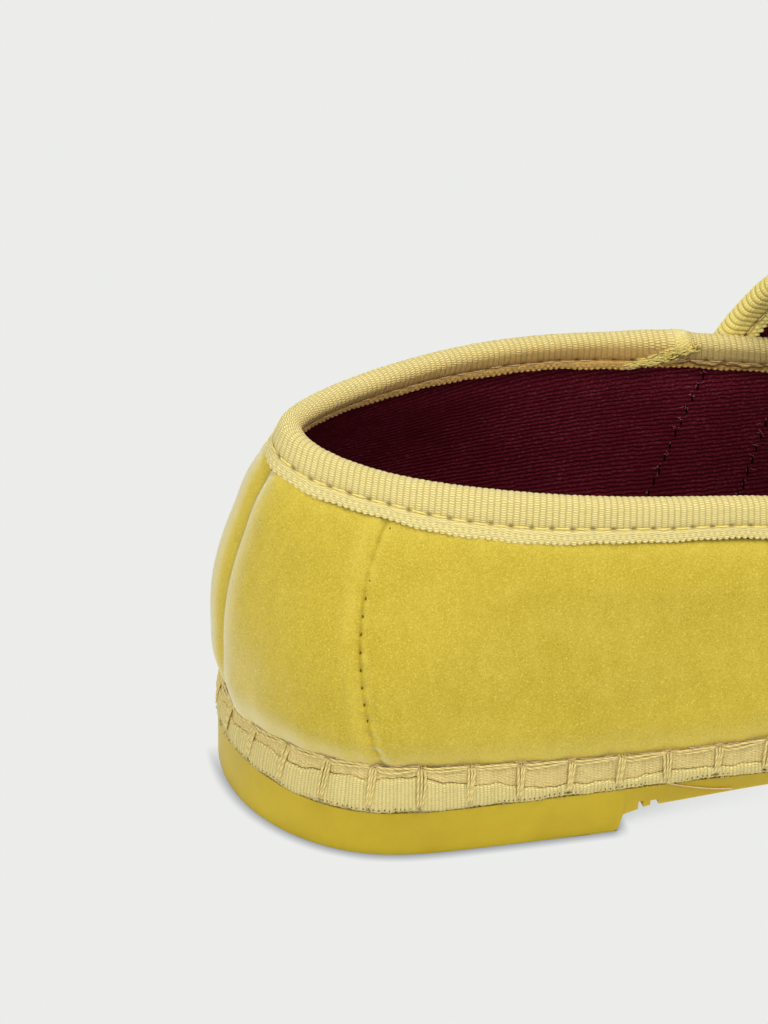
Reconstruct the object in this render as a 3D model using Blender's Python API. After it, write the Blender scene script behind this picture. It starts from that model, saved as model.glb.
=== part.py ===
"""Mary jane, right shoe: velvet upper on a taped textile midsole and a rubber sole.

Units are metres. The working axes start under the back of the heel: +X runs to the toe, +Y to the
inner (medial) side of the foot and +Z up. The finished pieces hang on one empty, which carries the
origin to the middle of the shoe's footprint.
"""
import bmesh
import bpy
import numpy as np

# Sole sizes
SOLE_LENGTH = 0.2522        # heel back to toe tip, along the ground
HEEL_WIDTH = 0.0634         # across the heel seat
BALL_WIDTH = 0.0892         # across the ball of the foot
FOREFOOT_RUBBER = 0.0047    # rubber under the ball
HEEL_RISE = 0.0043          # heel seat above the forefoot seat
HEEL_BREAST = 0.0597        # front face of the heel block
BREAST_DRAFT = 0.0002       # run of the front face along X
BREAST_HEIGHT = 0.0042      # ground to rubber just before the heel block
ARCH_HEIGHT = 0.0060        # ground to rubber at the waist
TOE_SPRING = 0.0085         # lift of the toe tip
WAIST_INSET = 0.0035        # rubber drawn in under the inner waist
TREAD_DEPTH = 0.0014        # depth of the tread grooves
TREAD_WIDTH = 0.0032        # width of the tread grooves
TREAD_PITCH = 0.0185        # distance between the cross grooves of the forefoot
TREAD_RIM = 0.0045          # plain rim round the tread
NOTCH_WIDTH = 0.0037        # notch in the rubber's outer edge, in front of the heel block
NOTCH_LENGTH = 0.0080       # the notch runs in from the edge

# Places along the sole
RISE_START = 0.357 * SOLE_LENGTH    # the seat starts to fall here
RISE_END = 0.634 * SOLE_LENGTH      # and is down here
ARCH_TOP = 0.377 * SOLE_LENGTH      # highest place of the arch
ARCH_END = 0.587 * SOLE_LENGTH      # the forefoot meets the ground
SPRING_START = 0.753 * SOLE_LENGTH  # the forefoot leaves the ground
WAIST_START = 0.246 * SOLE_LENGTH   # the rubber starts to draw in
WAIST_END = 0.603 * SOLE_LENGTH     # and is out again
TREAD_FIRST = 0.531 * SOLE_LENGTH   # first cross groove of the forefoot
NOTCH_PLACE = 0.254 * SOLE_LENGTH   # notch in the outer edge

# Platform and tape sizes
WELT_HEIGHT = 0.0067        # midsole and its tape
WELT_THICKNESS = 0.0010     # tape round the midsole
WELT_LEAN = 0.0010          # the tape's top leans in by this at the heel
INSOLE_THICKNESS = 0.0026
TAPE_THICKNESS = 0.0008     # one layer of the collar and strap tape
TAPE_CROWN = 0.0012         # depth of the tape's rounded fold
COLLAR_TAPE = 0.0068        # width of the tape on each face of the collar
STRAP_TAPE = 0.0055         # width of the tape on each face of the strap
GAP = 0.0003                # between pieces that touch
INSOLE_CLEARANCE = 0.0014   # insole to the inside of the wall

# Upper sizes
UPPER_WALL = 0.0022         # velvet, stiffener and lining, of the strap too
UPPER_INSET = 0.0006        # upper's foot inside the welt's outer line
BACK_HEIGHT = 0.0675        # ground to the top of the collar at the back
COLLAR_WIDTH = 0.0544       # across the collar, outside
WALL_FLARE = 0.0037         # handle that swells the wall over the welt

# Strap sizes
STRAP_X = 0.0930            # rear edge where it leaves the collar
STRAP_WIDTH = 0.0212        # along the collar
STRAP_LEAN = 0.0144         # the crown's rear edge lies this far in front of STRAP_X
STRAP_CROWN_Y = -0.0010     # crown is this far from the heel's middle line
STRAP_CROWN_Z = 0.0805      # inner face of the rear edge at the crown
STRAP_SLOPE = (0.0176, -0.0112)  # rear edge to front edge at the crown, along X and Z
STRAP_LAP = 0.0105          # strap's end below the top of the collar
STRAP_SWEEP = 0.0050        # the end lies this far behind the place where it leaves the collar
STRAP_RISE = (0.0075, 0.0013, 0.0125)  # first handle of the arch: forwards, inwards and up
FRONT_RISE = 0.8            # share of that handle at the strap's front edge
STRAP_SHOULDER = 0.0145     # second handle of the arch, across

# Resolution
AROUND = 84                 # sections round the shoe
WALL_STEPS = 9              # rows between the feather line and the collar tape
PROFILE_SAMPLES = 41
STRAP_STEPS = 9             # sections of each half of the strap's arch
SLAB_PITCH = 0.008          # cross cuts that let a slab follow the ground
BOOLEAN_WELD = 0.000001     # joins the points that a cut leaves double
EDGE_STEP = 0.0005          # steps that measure directions: round the last,
SKIN_STEP = 0.0008          # round the wall
FALL_STEP = 0.0006          # and down the wall, in metres
COLLAR_SEARCH = (0.02, 0.40)     # stretch of the last that holds the outer side's strap

# The last, one row for each section, from the back of the heel round the outer side to the toe and
# back along the inner side. sole_x and top_x are shares of SOLE_LENGTH. sole_y is a share of the
# width named in the row, top_y of COLLAR_WIDTH and top_z of BACK_HEIGHT.
#  place             width        sole_x sole_y  top_x  top_y  top_z
LAST = (
    ("heel back",      HEEL_WIDTH, 0.000,  0.000, 0.040, 0.000, 1.000),
    ("outer turn",     HEEL_WIDTH, 0.0175, -0.265, 0.053, -0.127, 0.985),
    ("outer corner",   HEEL_WIDTH, 0.0575, -0.435, 0.087, -0.254, 0.963),
    ("outer heel",     HEEL_WIDTH, 0.131, -0.500, 0.151, -0.397, 0.939),
    ("outer quarter",  HEEL_WIDTH, 0.238, -0.518, 0.246, -0.494, 0.903),
    ("outer strap",    BALL_WIDTH, 0.357, -0.388, 0.361, -0.500, 0.842),
    ("outer waist",    BALL_WIDTH, 0.456, -0.437, 0.460, -0.515, 0.761),
    ("outer instep",   BALL_WIDTH, 0.555, -0.509, 0.555, -0.504, 0.684),
    ("outer ball",     BALL_WIDTH, 0.646, -0.538, 0.621, -0.460, 0.646),
    ("outer vamp",     BALL_WIDTH, 0.745, -0.510, 0.668, -0.390, 0.622),
    ("outer toe",      BALL_WIDTH, 0.841, -0.417, 0.698, -0.309, 0.613),
    ("outer toe turn", BALL_WIDTH, 0.928, -0.276, 0.716, -0.224, 0.609),
    ("toe outer tip",  BALL_WIDTH, 0.982, -0.120, 0.725, -0.136, 0.608),
    ("toe tip",        BALL_WIDTH, 1.000,  0.048, 0.7275, -0.055, 0.608),
    ("toe inner tip",  BALL_WIDTH, 0.983,  0.184, 0.724, 0.040, 0.608),
    ("inner toe",      BALL_WIDTH, 0.916,  0.328, 0.712, 0.132, 0.610),
    ("inner vamp",     BALL_WIDTH, 0.821,  0.416, 0.684, 0.232, 0.621),
    ("inner ball",     BALL_WIDTH, 0.706,  0.460, 0.636, 0.316, 0.641),
    ("inner instep",   BALL_WIDTH, 0.595,  0.426, 0.563, 0.390, 0.682),
    ("inner waist",    BALL_WIDTH, 0.476,  0.350, 0.462, 0.456, 0.763),
    ("inner strap",    BALL_WIDTH, 0.365,  0.326, 0.363, 0.489, 0.842),
    ("inner quarter",  HEEL_WIDTH, 0.246,  0.494, 0.246, 0.494, 0.903),
    ("inner heel",     HEEL_WIDTH, 0.131,  0.497, 0.151, 0.397, 0.939),
    ("inner corner",   HEEL_WIDTH, 0.0575, 0.433, 0.087, 0.254, 0.963),
    ("inner turn",     HEEL_WIDTH, 0.0175, 0.265, 0.053, 0.127, 0.985),
)

# How the wall runs from sole to collar, by place along the sole (share of SOLE_LENGTH). rise and
# fall are shares of the wall's height, flare of WALL_FLARE, reach of its run from top to sole.
#  along rise  flare fall   reach
WALL = (
    (0.00, 0.39, 1.45, 0.260, 0.500),
    (0.05, 0.39, 1.30, 0.260, 0.440),
    (0.13, 0.40, 0.95, 0.250, 0.320),
    (0.25, 0.42, 0.80, 0.260, 0.290),
    (0.37, 0.43, 0.60, 0.250, 0.350),
    (0.50, 0.46, 0.50, 0.200, 0.450),
    (0.65, 0.46, 0.42, 0.140, 0.600),
    (0.84, 0.52, 0.50, 0.220, 0.600),
    (1.00, 0.60, 0.65, 0.280, 0.590),
)

# Long tread lines of the forefoot and heel: start and end as shares of SOLE_LENGTH, and the middle
# line's place across as a share of BALL_WIDTH at both ends.
#  from   to     across_from across_to
LONG_GROOVES = (
    (0.555, 0.930, -0.190, -0.050),
    (0.600, 0.915, 0.130, 0.150),
    (0.020, 0.180, -0.120, -0.120),
    (0.085, 0.238, 0.125, 0.125),
)

# Arched tread lines: centre along and across, radius, and the arc that is cut, in degrees.
#  along  across radius from  to
ARC_GROOVES = (
    (0.650, -0.030, 0.0135, 20, 340),
    (0.800, -0.300, 0.0150, 10, 200),
    (0.855, 0.190, 0.0120, 150, 380),
    (0.110, 0.000, 0.0125, -80, 170),
)

# Cross tread lines of the heel, as shares of SOLE_LENGTH.
HEEL_GROOVES = (0.064, 0.172)

# Colours and finishes
#  name               red    green  blue  roughness
FINISHES = {
    "rubber": (0.520, 0.376, 0.032, 0.42),
    "textile": (0.660, 0.540, 0.240, 0.90),
    "tape": (0.776, 0.623, 0.216, 0.70),
    "velvet": (0.610, 0.468, 0.042, 0.85),
    "lining": (0.036, 0.003, 0.006, 0.90),
}


def clear_scene():
    """Remove every object and collection of the start-up scene."""
    for item in list(bpy.data.objects):
        bpy.data.objects.remove(item, do_unlink=True)
    for group in list(bpy.data.collections):
        bpy.data.collections.remove(group)


def finish(name):
    """Return the material of one finish."""
    material = bpy.data.materials.get(name)
    if material is None:
        material = bpy.data.materials.new(name)
        material.use_nodes = True
        red, green, blue, roughness = FINISHES[name]
        shader = material.node_tree.nodes["Principled BSDF"]
        shader.inputs["Base Color"].default_value = (red, green, blue, 1.0)
        shader.inputs["Roughness"].default_value = roughness
        shader.inputs["Metallic"].default_value = 0.0
    return material


def add_object(name, mesh, finish_name, group):
    """Put a mesh in the scene as one named piece."""
    item = bpy.data.objects.new(name, mesh)
    mesh.materials.append(finish(finish_name))
    group.objects.link(item)
    return item


def smooth_step(x, start, end):
    """Ease from 0 at start to 1 at end."""
    share = np.clip((x - start) / (end - start), 0.0, 1.0)
    return share * share * (3.0 - 2.0 * share)


def toe_lift(x):
    """Height that the toe spring adds at x."""
    share = np.clip((x - SPRING_START) / (SOLE_LENGTH - SPRING_START), 0.0, None)
    return TOE_SPRING * share * share


def ground_line(x):
    """Height of the rubber's lower face at x."""
    if x <= HEEL_BREAST + 0.5 * BREAST_DRAFT:
        return 0.0
    if x < ARCH_TOP:
        rise = smooth_step(x, HEEL_BREAST, ARCH_TOP)
        return BREAST_HEIGHT + (ARCH_HEIGHT - BREAST_HEIGHT) * rise
    return ARCH_HEIGHT * (1.0 - smooth_step(x, ARCH_TOP, ARCH_END)) + toe_lift(x)


def seat_line(x):
    """Height of the rubber's upper face at x, on which the midsole lies."""
    drop = smooth_step(x, RISE_START, RISE_END)
    return FOREFOOT_RUBBER + HEEL_RISE * (1.0 - drop) + toe_lift(x)


def closed_spline(knots, values):
    """Return a smooth closed curve through the values, one knot longer than the values."""
    count = len(values)
    span = np.diff(knots)
    system = np.zeros((count, count))
    right = np.zeros_like(values)
    for i in range(count):
        before, after = span[i - 1], span[i]
        system[i, i - 1] += before
        system[i, i] += 2.0 * (before + after)
        system[i, (i + 1) % count] += after
        ahead = (values[(i + 1) % count] - values[i]) / after
        behind = (values[i] - values[i - 1]) / before
        right[i] = 6.0 * (ahead - behind)
    bend = np.linalg.solve(system, right)

    def curve(u):
        place = (u % 1.0) * knots[-1]
        i = min(int(np.searchsorted(knots, place, side="right")) - 1, count - 1)
        j = (i + 1) % count
        width = span[i]
        b = (place - knots[i]) / width
        a = 1.0 - b
        curl = (a ** 3 - a) * bend[i] + (b ** 3 - b) * bend[j]
        return a * values[i] + b * values[j] + curl * width * width / 6.0

    return curve


def make_last():
    """Return the curve of the last: sole x and y, then the collar's x, y and z."""
    rows = []
    for _, width, sole_x, sole_y, top_x, top_y, top_z in LAST:
        rows.append((sole_x * SOLE_LENGTH, sole_y * width,
                     top_x * SOLE_LENGTH, top_y * COLLAR_WIDTH, top_z * BACK_HEIGHT))
    values = np.array(rows)
    steps = np.linalg.norm(np.diff(values[:, :2], axis=0, append=values[:1, :2]), axis=1)
    # Equal shares of sole edge and of collar keep the sections fanned evenly at the toe.
    collar = np.linalg.norm(np.diff(values[:, 2:], axis=0, append=values[:1, 2:]), axis=1)
    knots = np.concatenate(([0.0], np.cumsum(steps + collar)))
    return closed_spline(knots, values)


last = make_last()
wall_table = np.array(WALL)


def outward_at(u):
    """Horizontal direction out of the shoe at u; the last's rows run anticlockwise from above."""
    run = last(u + EDGE_STEP)[:2] - last(u - EDGE_STEP)[:2]
    run /= np.linalg.norm(run)
    return np.array((run[1], -run[0]))


def sole_edge(u, inset=0.0):
    """Point of the welt's outer line at u, moved in by inset."""
    return last(u)[:2] - outward_at(u) * inset


def wall_profile(u):
    """Points of the upper's outer face at u, from the collar down, with their distances."""
    foot = sole_edge(u, UPPER_INSET)
    top = last(u)[2:]
    low = seat_line(foot[0]) + WELT_HEIGHT + GAP
    height = top[2] - low
    along = foot[0] / SOLE_LENGTH
    rise, flare, fall, reach = (np.interp(along, wall_table[:, 0], wall_table[:, k])
                                for k in range(1, 5))
    start = np.array((foot[0], foot[1], low))
    swell = outward_at(u) * flare * WALL_FLARE
    first = start + (swell[0], swell[1], rise * height)
    run = (start - top) * (reach, reach, 0.0)
    second = top + run - (0.0, 0.0, fall * height)
    t = np.linspace(1.0, 0.0, PROFILE_SAMPLES)[:, None]
    points = ((1 - t) ** 3 * start + 3 * (1 - t) ** 2 * t * first
              + 3 * (1 - t) * t ** 2 * second + t ** 3 * top)
    lengths = np.linalg.norm(np.diff(points, axis=0), axis=1)
    return points, np.concatenate(([0.0], np.cumsum(lengths)))


def skin(u, depth):
    """Point of the outer face at u, depth below the collar's top along the wall."""
    points, lengths = wall_profile(u)
    return np.array([np.interp(depth, lengths, points[:, k]) for k in range(3)])


def wall_length(u):
    """Length of the wall from the collar's top to the welt at u."""
    return wall_profile(u)[1][-1]


def skin_normal(u, depth):
    """Outward direction of the outer face."""
    start = max(depth - FALL_STEP, 0.0)
    along = skin(u + SKIN_STEP, depth) - skin(u - SKIN_STEP, depth)
    fall = skin(u, start + 2 * FALL_STEP) - skin(u, start)
    normal = np.cross(fall, along)
    return normal / np.linalg.norm(normal)


def wall_section(u, places):
    """Turn (depth, inward offset) places into points of one section."""
    return [skin(u, depth) - skin_normal(u, depth) * offset for depth, offset in places]


def loft(name, sections, finish_name, group, closed):
    """Make one solid through rings of equal point count, closed round or capped at both ends."""
    bm = bmesh.new()
    rings = [[bm.verts.new(tuple(point)) for point in ring] for ring in sections]
    count = len(rings[0])
    for i in range(len(rings) if closed else len(rings) - 1):
        here, ahead = rings[i], rings[(i + 1) % len(rings)]
        for k in range(count):
            n = (k + 1) % count
            bm.faces.new((here[k], here[n], ahead[n], ahead[k]))
    if not closed:
        bm.faces.new(rings[0])
        bm.faces.new(rings[-1])
    bmesh.ops.recalc_face_normals(bm, faces=bm.faces)
    mesh = bpy.data.meshes.new(name)
    bm.to_mesh(mesh)
    bm.free()
    mesh.shade_smooth()
    mesh.set_sharp_from_angle(angle=np.radians(35))
    return add_object(name, mesh, finish_name, group)


def fold_places(width):
    """Section of a tape folded over an edge, as (depth, inward offset) places."""
    across = fold_thickness()
    inner = across - TAPE_THICKNESS
    roof = TAPE_THICKNESS + GAP
    middle = 0.5 * width
    crown = [(TAPE_CROWN * (1.0 - np.sin(turn)), 0.5 * across * (1.0 - np.cos(turn)))
             for turn in np.linspace(0.0, np.pi, 5)]
    outside = [(width, 0.0), (middle, 0.0)] + crown + [(middle, across), (width, across)]
    inside = [(width, inner), (middle, inner), (roof, inner), (roof, TAPE_THICKNESS),
              (middle, TAPE_THICKNESS), (width, TAPE_THICKNESS)]
    return outside + inside


def fold_thickness():
    """Thickness over both layers of a folded tape and the edge between them."""
    return 2 * TAPE_THICKNESS + 2 * GAP + edge_wall()


def edge_wall():
    """Thickness of the wall where the tape's outer layer lies in its step."""
    return UPPER_WALL - TAPE_THICKNESS - GAP


def around():
    """Places of the sections round the shoe."""
    return np.linspace(0.0, 1.0, AROUND, endpoint=False)


def make_upper(group):
    """Velvet and lining wall, open above and below, stepped in under the collar tape."""
    step = TAPE_THICKNESS + GAP
    band = COLLAR_TAPE + GAP
    roof = TAPE_THICKNESS + 2 * GAP
    middle = 0.5 * COLLAR_TAPE
    sections = []
    for u in around():
        low = wall_length(u)
        rows = [low + (band - low) * k / WALL_STEPS for k in range(WALL_STEPS + 1)]
        outer = [(depth, 0.0) for depth in rows]
        inner = [(depth, UPPER_WALL) for depth in reversed(rows)]
        neck = [(band, step), (middle, step), (roof, step), (roof, UPPER_WALL),
                (middle, UPPER_WALL)]
        sections.append(wall_section(u, outer + neck + inner))
        flatten_foot(sections[-1][0], sections[-1][-1])
    return loft("upper", sections, "velvet", group, closed=True)


def flatten_foot(outer, inner):
    """Bring the wall's inner lower edge to the height of its outer lower edge."""
    inner[2] = seat_line(inner[0]) + WELT_HEIGHT + GAP
    outer[2] = seat_line(outer[0]) + WELT_HEIGHT + GAP


def make_collar_tape(group):
    """Tape folded over the whole topline."""
    sections = [wall_section(u, fold_places(COLLAR_TAPE)) for u in around()]
    return loft("collar_tape", sections, "tape", group, closed=True)


def make_welt_tape(group):
    """Tape round the midsole's edge, leaning in at the back of the heel."""
    sections = []
    for u in around():
        x = last(u)[0]
        lean = WELT_LEAN * (1.0 - smooth_step(x, 0.0, HEEL_BREAST))
        ring = []
        for inset, lift in ((0.0, GAP), (lean, WELT_HEIGHT), (lean + WELT_THICKNESS, WELT_HEIGHT),
                            (WELT_THICKNESS, GAP)):
            point = sole_edge(u, inset)
            ring.append((point[0], point[1], seat_line(point[0]) + lift))
        sections.append(ring)
    return loft("welt_tape", sections, "tape", group, closed=True)


def prism(outline, low, high):
    """Return a bmesh of an outline raised from low to high."""
    bm = bmesh.new()
    face = bm.faces.new([bm.verts.new((point[0], point[1], low)) for point in outline])
    raised = bmesh.ops.extrude_face_region(bm, geom=[face])
    tops = [item for item in raised["geom"] if isinstance(item, bmesh.types.BMVert)]
    bmesh.ops.translate(bm, verts=tops, vec=(0.0, 0.0, high - low))
    bmesh.ops.recalc_face_normals(bm, faces=bm.faces)
    return bm


def bend_slab(bm, places, lower, upper, middle):
    """Cut a flat slab across at each place, then lay it between two lines along X."""
    for x in places:
        geometry = bm.verts[:] + bm.edges[:] + bm.faces[:]
        bmesh.ops.bisect_plane(bm, geom=geometry, dist=BOOLEAN_WELD, plane_co=(x, 0.0, 0.0),
                               plane_no=(1.0, 0.0, 0.0))
    for vert in bm.verts:
        if vert.co.z > middle:
            vert.co.z = upper(vert.co.x)
        else:
            vert.co.z += lower(vert.co.x)


def slab_places():
    """Cross cuts that let a slab follow the ground."""
    regular = list(np.arange(SLAB_PITCH, SOLE_LENGTH, SLAB_PITCH))
    spare = 0.3 * SLAB_PITCH
    kept = [x for x in regular if abs(x - HEEL_BREAST) > spare]
    return sorted(kept + [HEEL_BREAST, HEEL_BREAST + BREAST_DRAFT])


def make_slab(name, inset, floor, thickness, finish_name, group):
    """Flat piece over the whole foot: floor above the seat line, with the given edge inset."""
    outline = [sole_edge(u, inset) for u in around()]
    bm = prism(outline, 0.0, thickness)
    bend_slab(bm, slab_places(), lambda x: seat_line(x) + floor,
              lambda x: seat_line(x) + floor + thickness, 0.5 * thickness)
    mesh = bpy.data.meshes.new(name)
    bm.to_mesh(mesh)
    bm.free()
    return add_object(name, mesh, finish_name, group)


def ribbon(points, width):
    """Outline of a band of one width along a line of points."""
    line = np.array(points)
    run = np.gradient(line, axis=0)
    run /= np.linalg.norm(run, axis=1)[:, None]
    side = np.stack((-run[:, 1], run[:, 0]), axis=1) * 0.5 * width
    return list(line + side) + list((line - side)[::-1])


def rubber_span(x):
    """Outer and inner edge of the rubber at x."""
    ring = np.array([rubber_edge(u) for u in around()])
    tip = int(np.argmax(ring[:, 0]))
    outer, inner = ring[:tip + 1], ring[tip:][::-1]
    return np.interp(x, outer[:, 0], outer[:, 1]), np.interp(x, inner[:, 0], inner[:, 1])


def cross_line(x):
    """Tread line straight across the sole at x, inside the plain rim."""
    outer, inner = rubber_span(x)
    return [(x, outer + TREAD_RIM), (x, inner - TREAD_RIM)]


def groove_lines():
    """Lines of the tread grooves as lists of points."""
    lines = []
    place = TREAD_FIRST
    while place < SOLE_LENGTH - 0.5 * TREAD_PITCH:
        lines.append(cross_line(place))
        place += TREAD_PITCH
    lines += [cross_line(share * SOLE_LENGTH) for share in HEEL_GROOVES]
    for start, end, across_start, across_end in LONG_GROOVES:
        lines.append([(start * SOLE_LENGTH, across_start * BALL_WIDTH),
                      (end * SOLE_LENGTH, across_end * BALL_WIDTH)])
    for along, across, radius, start, end in ARC_GROOVES:
        turns = np.radians(np.linspace(start, end, max(int((end - start) / 24), 3)))
        lines.append([(along * SOLE_LENGTH + radius * np.cos(turn),
                       across * BALL_WIDTH + radius * np.sin(turn)) for turn in turns])
    return lines


def notch_line():
    """Line of the short notch in the rubber's outer edge, in front of the heel block."""
    edge = rubber_span(NOTCH_PLACE)[0]
    return [(NOTCH_PLACE, edge - NOTCH_WIDTH), (NOTCH_PLACE, edge + NOTCH_LENGTH)]


def rubber_edge(u):
    """Outer line of the rubber: the welt's line, drawn in under the inner waist."""
    point = last(u)[:2]
    middle = 0.5 * (WAIST_START + WAIST_END)
    inner = smooth_step(point[1], 0.0, 0.5 * GAP)
    waist = smooth_step(point[0], WAIST_START, middle) * (
        1.0 - smooth_step(point[0], middle, WAIST_END))
    return sole_edge(u, WAIST_INSET * inner * waist)


def make_outsole(group, cutters):
    """Rubber sole: flat slab, grooves cut from below, then bent to the ground and seat lines."""
    thickness = FOREFOOT_RUBBER
    bm = prism([rubber_edge(u) for u in around()], 0.0, thickness)
    mesh = bpy.data.meshes.new("outsole_flat")
    bm.to_mesh(mesh)
    bm.free()
    flat = bpy.data.objects.new("outsole_flat", mesh)
    group.objects.link(flat)
    tools = []
    cuts = [(line, TREAD_WIDTH) for line in groove_lines()]
    cuts.append((notch_line(), NOTCH_WIDTH))
    for number, (line, width) in enumerate(cuts):
        cutter_bm = prism(ribbon(line, width), -TREAD_DEPTH, TREAD_DEPTH)
        cutter_mesh = bpy.data.meshes.new("groove")
        cutter_bm.to_mesh(cutter_mesh)
        cutter_bm.free()
        tool = bpy.data.objects.new("groove_%02d" % number, cutter_mesh)
        cutters.objects.link(tool)
        tools.append(tool)
        cut = flat.modifiers.new(tool.name, "BOOLEAN")
        cut.operation = "DIFFERENCE"
        cut.object = tool
    bpy.context.view_layer.update()
    evaluated = flat.evaluated_get(bpy.context.evaluated_depsgraph_get())
    grooved = bpy.data.meshes.new_from_object(evaluated)
    bm = bmesh.new()
    bm.from_mesh(grooved)
    bmesh.ops.remove_doubles(bm, verts=bm.verts, dist=BOOLEAN_WELD)
    bend_slab(bm, slab_places(), ground_line, seat_line, 0.5 * (TREAD_DEPTH + thickness))
    bmesh.ops.remove_doubles(bm, verts=bm.verts, dist=BOOLEAN_WELD)
    bm.to_mesh(grooved)
    bm.free()
    for tool in tools:
        bpy.data.objects.remove(tool, do_unlink=True)
    bpy.data.objects.remove(flat, do_unlink=True)
    grooved.name = "outsole"
    return add_object("outsole", grooved, "rubber", group)


def collar_place(x, outer):
    """Find the section whose collar point lies at x on the outer or inner side."""
    places = np.linspace(*COLLAR_SEARCH, 191)
    if not outer:
        places = 1.0 - places
    tops = np.array([last(u)[2] for u in places])
    return float(np.interp(x, tops, places))


def strap_edge(front):
    """Inner face of one edge of the strap, from the outer quarter over the foot to the inner."""
    base = STRAP_X + (STRAP_WIDTH if front else 0.0)
    crown = np.array((STRAP_X + STRAP_LEAN, STRAP_CROWN_Y, STRAP_CROWN_Z))
    if front:
        crown += (STRAP_SLOPE[0], 0.0, STRAP_SLOPE[1])
    halves = []
    for outer in (True, False):
        lap = []
        for depth in (STRAP_LAP, 0.5 * STRAP_LAP, 0.0):
            u = collar_place(base - STRAP_SWEEP * depth / STRAP_LAP, outer)
            lap.append(skin(u, depth) + skin_normal(u, depth) * GAP)
        start = lap[-1]
        side = -1.0 if outer else 1.0
        rise = np.array(STRAP_RISE) * (1.0, -side, 1.0)
        first = start + rise * (FRONT_RISE if front else 1.0)
        second = crown + (0.0, side * STRAP_SHOULDER, 0.0)
        arch = []
        for t in np.linspace(0.0, 1.0, STRAP_STEPS + 1)[1:]:
            arch.append((1 - t) ** 3 * start + 3 * (1 - t) ** 2 * t * first
                        + 3 * (1 - t) * t ** 2 * second + t ** 3 * crown)
        halves.append(lap + arch)
    return np.array(halves[0] + halves[1][-2::-1])


def strap_frames():
    """Rear edge, front edge and outward direction of each section of the strap."""
    rear, front = strap_edge(False), strap_edge(True)
    along = np.gradient(0.5 * (rear + front), axis=0)
    across = front - rear
    outward = np.cross(across, along)
    outward /= np.linalg.norm(outward, axis=1)[:, None]
    return rear, front, outward


def strap_sections(section, from_front):
    """Sections of a piece of the strap; section gives its places for a width of the strap."""
    rear, front, outward = strap_frames()
    rings = []
    for here, there, normal in zip(rear, front, outward):
        if from_front:
            here, there = there, here
        width = np.linalg.norm(there - here)
        run = (there - here) / width
        rings.append([here + run * depth + normal * (fold_thickness() - offset)
                      for depth, offset in section(width)])
    return rings


def strap_places(width):
    """Section of the strap's velvet band, as (distance from the rear edge, inward offset)."""
    band = STRAP_TAPE + GAP
    roof = TAPE_THICKNESS + 2 * GAP
    step = TAPE_THICKNESS + GAP
    return [(roof, step), (band, step), (band, 0.0), (0.5 * width, 0.0), (width - band, 0.0),
            (width - band, step), (width - roof, step), (width - roof, UPPER_WALL),
            (0.5 * width, UPPER_WALL), (roof, UPPER_WALL)]


def make_strap(group):
    """Velvet band over the instep, stepped in under its edge tapes."""
    return loft("strap", strap_sections(strap_places, False), "velvet", group, closed=False)


def make_strap_tape(name, from_front, group):
    """Tape folded over one edge of the strap."""
    rings = strap_sections(lambda width: fold_places(STRAP_TAPE), from_front)
    return loft(name, rings, "tape", group, closed=False)


def centre_on_footprint(pieces):
    """Hang the pieces on one empty that moves their common box to the origin."""
    bpy.context.view_layer.update()
    corners = np.array([tuple(vert.co) for piece in pieces for vert in piece.data.vertices])
    low, high = corners.min(axis=0), corners.max(axis=0)
    frame = bpy.data.objects.new("shoe_frame", None)
    pieces[0].users_collection[0].objects.link(frame)
    frame.location = (-0.5 * (low[0] + high[0]), -0.5 * (low[1] + high[1]), -low[2])
    for piece in pieces:
        piece.parent = frame


def main():
    """Build the shoe."""
    clear_scene()
    group = bpy.data.collections.new("mary_jane")
    cutters = bpy.data.collections.new("cutters")
    for item in (group, cutters):
        bpy.context.scene.collection.children.link(item)
    pieces = [
        make_outsole(group, cutters),
        make_slab("midsole", WELT_THICKNESS + WELT_LEAN + GAP, GAP, WELT_HEIGHT - GAP, "textile",
                  group),
        make_welt_tape(group),
        make_upper(group),
        make_slab("insole", UPPER_INSET + UPPER_WALL + INSOLE_CLEARANCE, WELT_HEIGHT + GAP,
                  INSOLE_THICKNESS, "lining", group),
        make_collar_tape(group),
        make_strap(group),
        make_strap_tape("strap_tape_rear", False, group),
        make_strap_tape("strap_tape_front", True, group),
    ]
    centre_on_footprint(pieces)


main()
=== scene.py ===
"""Mary jane, right shoe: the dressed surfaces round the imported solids.

Lengths are metres. Shapes are worked out in the shoe's own axes, which start under the back of the
heel: +X runs to the toe, +Y to the inner (medial) side and +Z up. Each piece is then moved into the
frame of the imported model.
"""

import logging
import math
from dataclasses import dataclass, field
from enum import Enum
from typing import Callable, Sequence

import bmesh
import bpy
import numpy as np
from mathutils import Matrix, Vector

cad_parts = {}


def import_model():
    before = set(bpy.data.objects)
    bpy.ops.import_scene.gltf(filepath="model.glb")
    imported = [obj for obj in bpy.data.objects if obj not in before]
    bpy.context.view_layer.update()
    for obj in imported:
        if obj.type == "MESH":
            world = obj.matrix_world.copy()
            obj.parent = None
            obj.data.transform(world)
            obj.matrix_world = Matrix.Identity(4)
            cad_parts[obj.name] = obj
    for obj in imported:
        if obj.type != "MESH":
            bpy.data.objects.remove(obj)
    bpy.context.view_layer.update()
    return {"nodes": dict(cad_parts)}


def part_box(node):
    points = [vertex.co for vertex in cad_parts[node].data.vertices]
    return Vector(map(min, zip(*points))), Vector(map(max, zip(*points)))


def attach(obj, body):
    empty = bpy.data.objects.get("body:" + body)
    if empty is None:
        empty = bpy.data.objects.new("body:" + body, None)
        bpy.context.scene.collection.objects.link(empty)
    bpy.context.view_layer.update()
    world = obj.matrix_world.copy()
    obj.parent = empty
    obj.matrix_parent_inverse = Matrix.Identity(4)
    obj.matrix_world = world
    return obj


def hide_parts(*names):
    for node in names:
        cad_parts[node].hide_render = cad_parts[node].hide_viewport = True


Array = np.ndarray
Colour = tuple[float, float, float]

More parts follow.
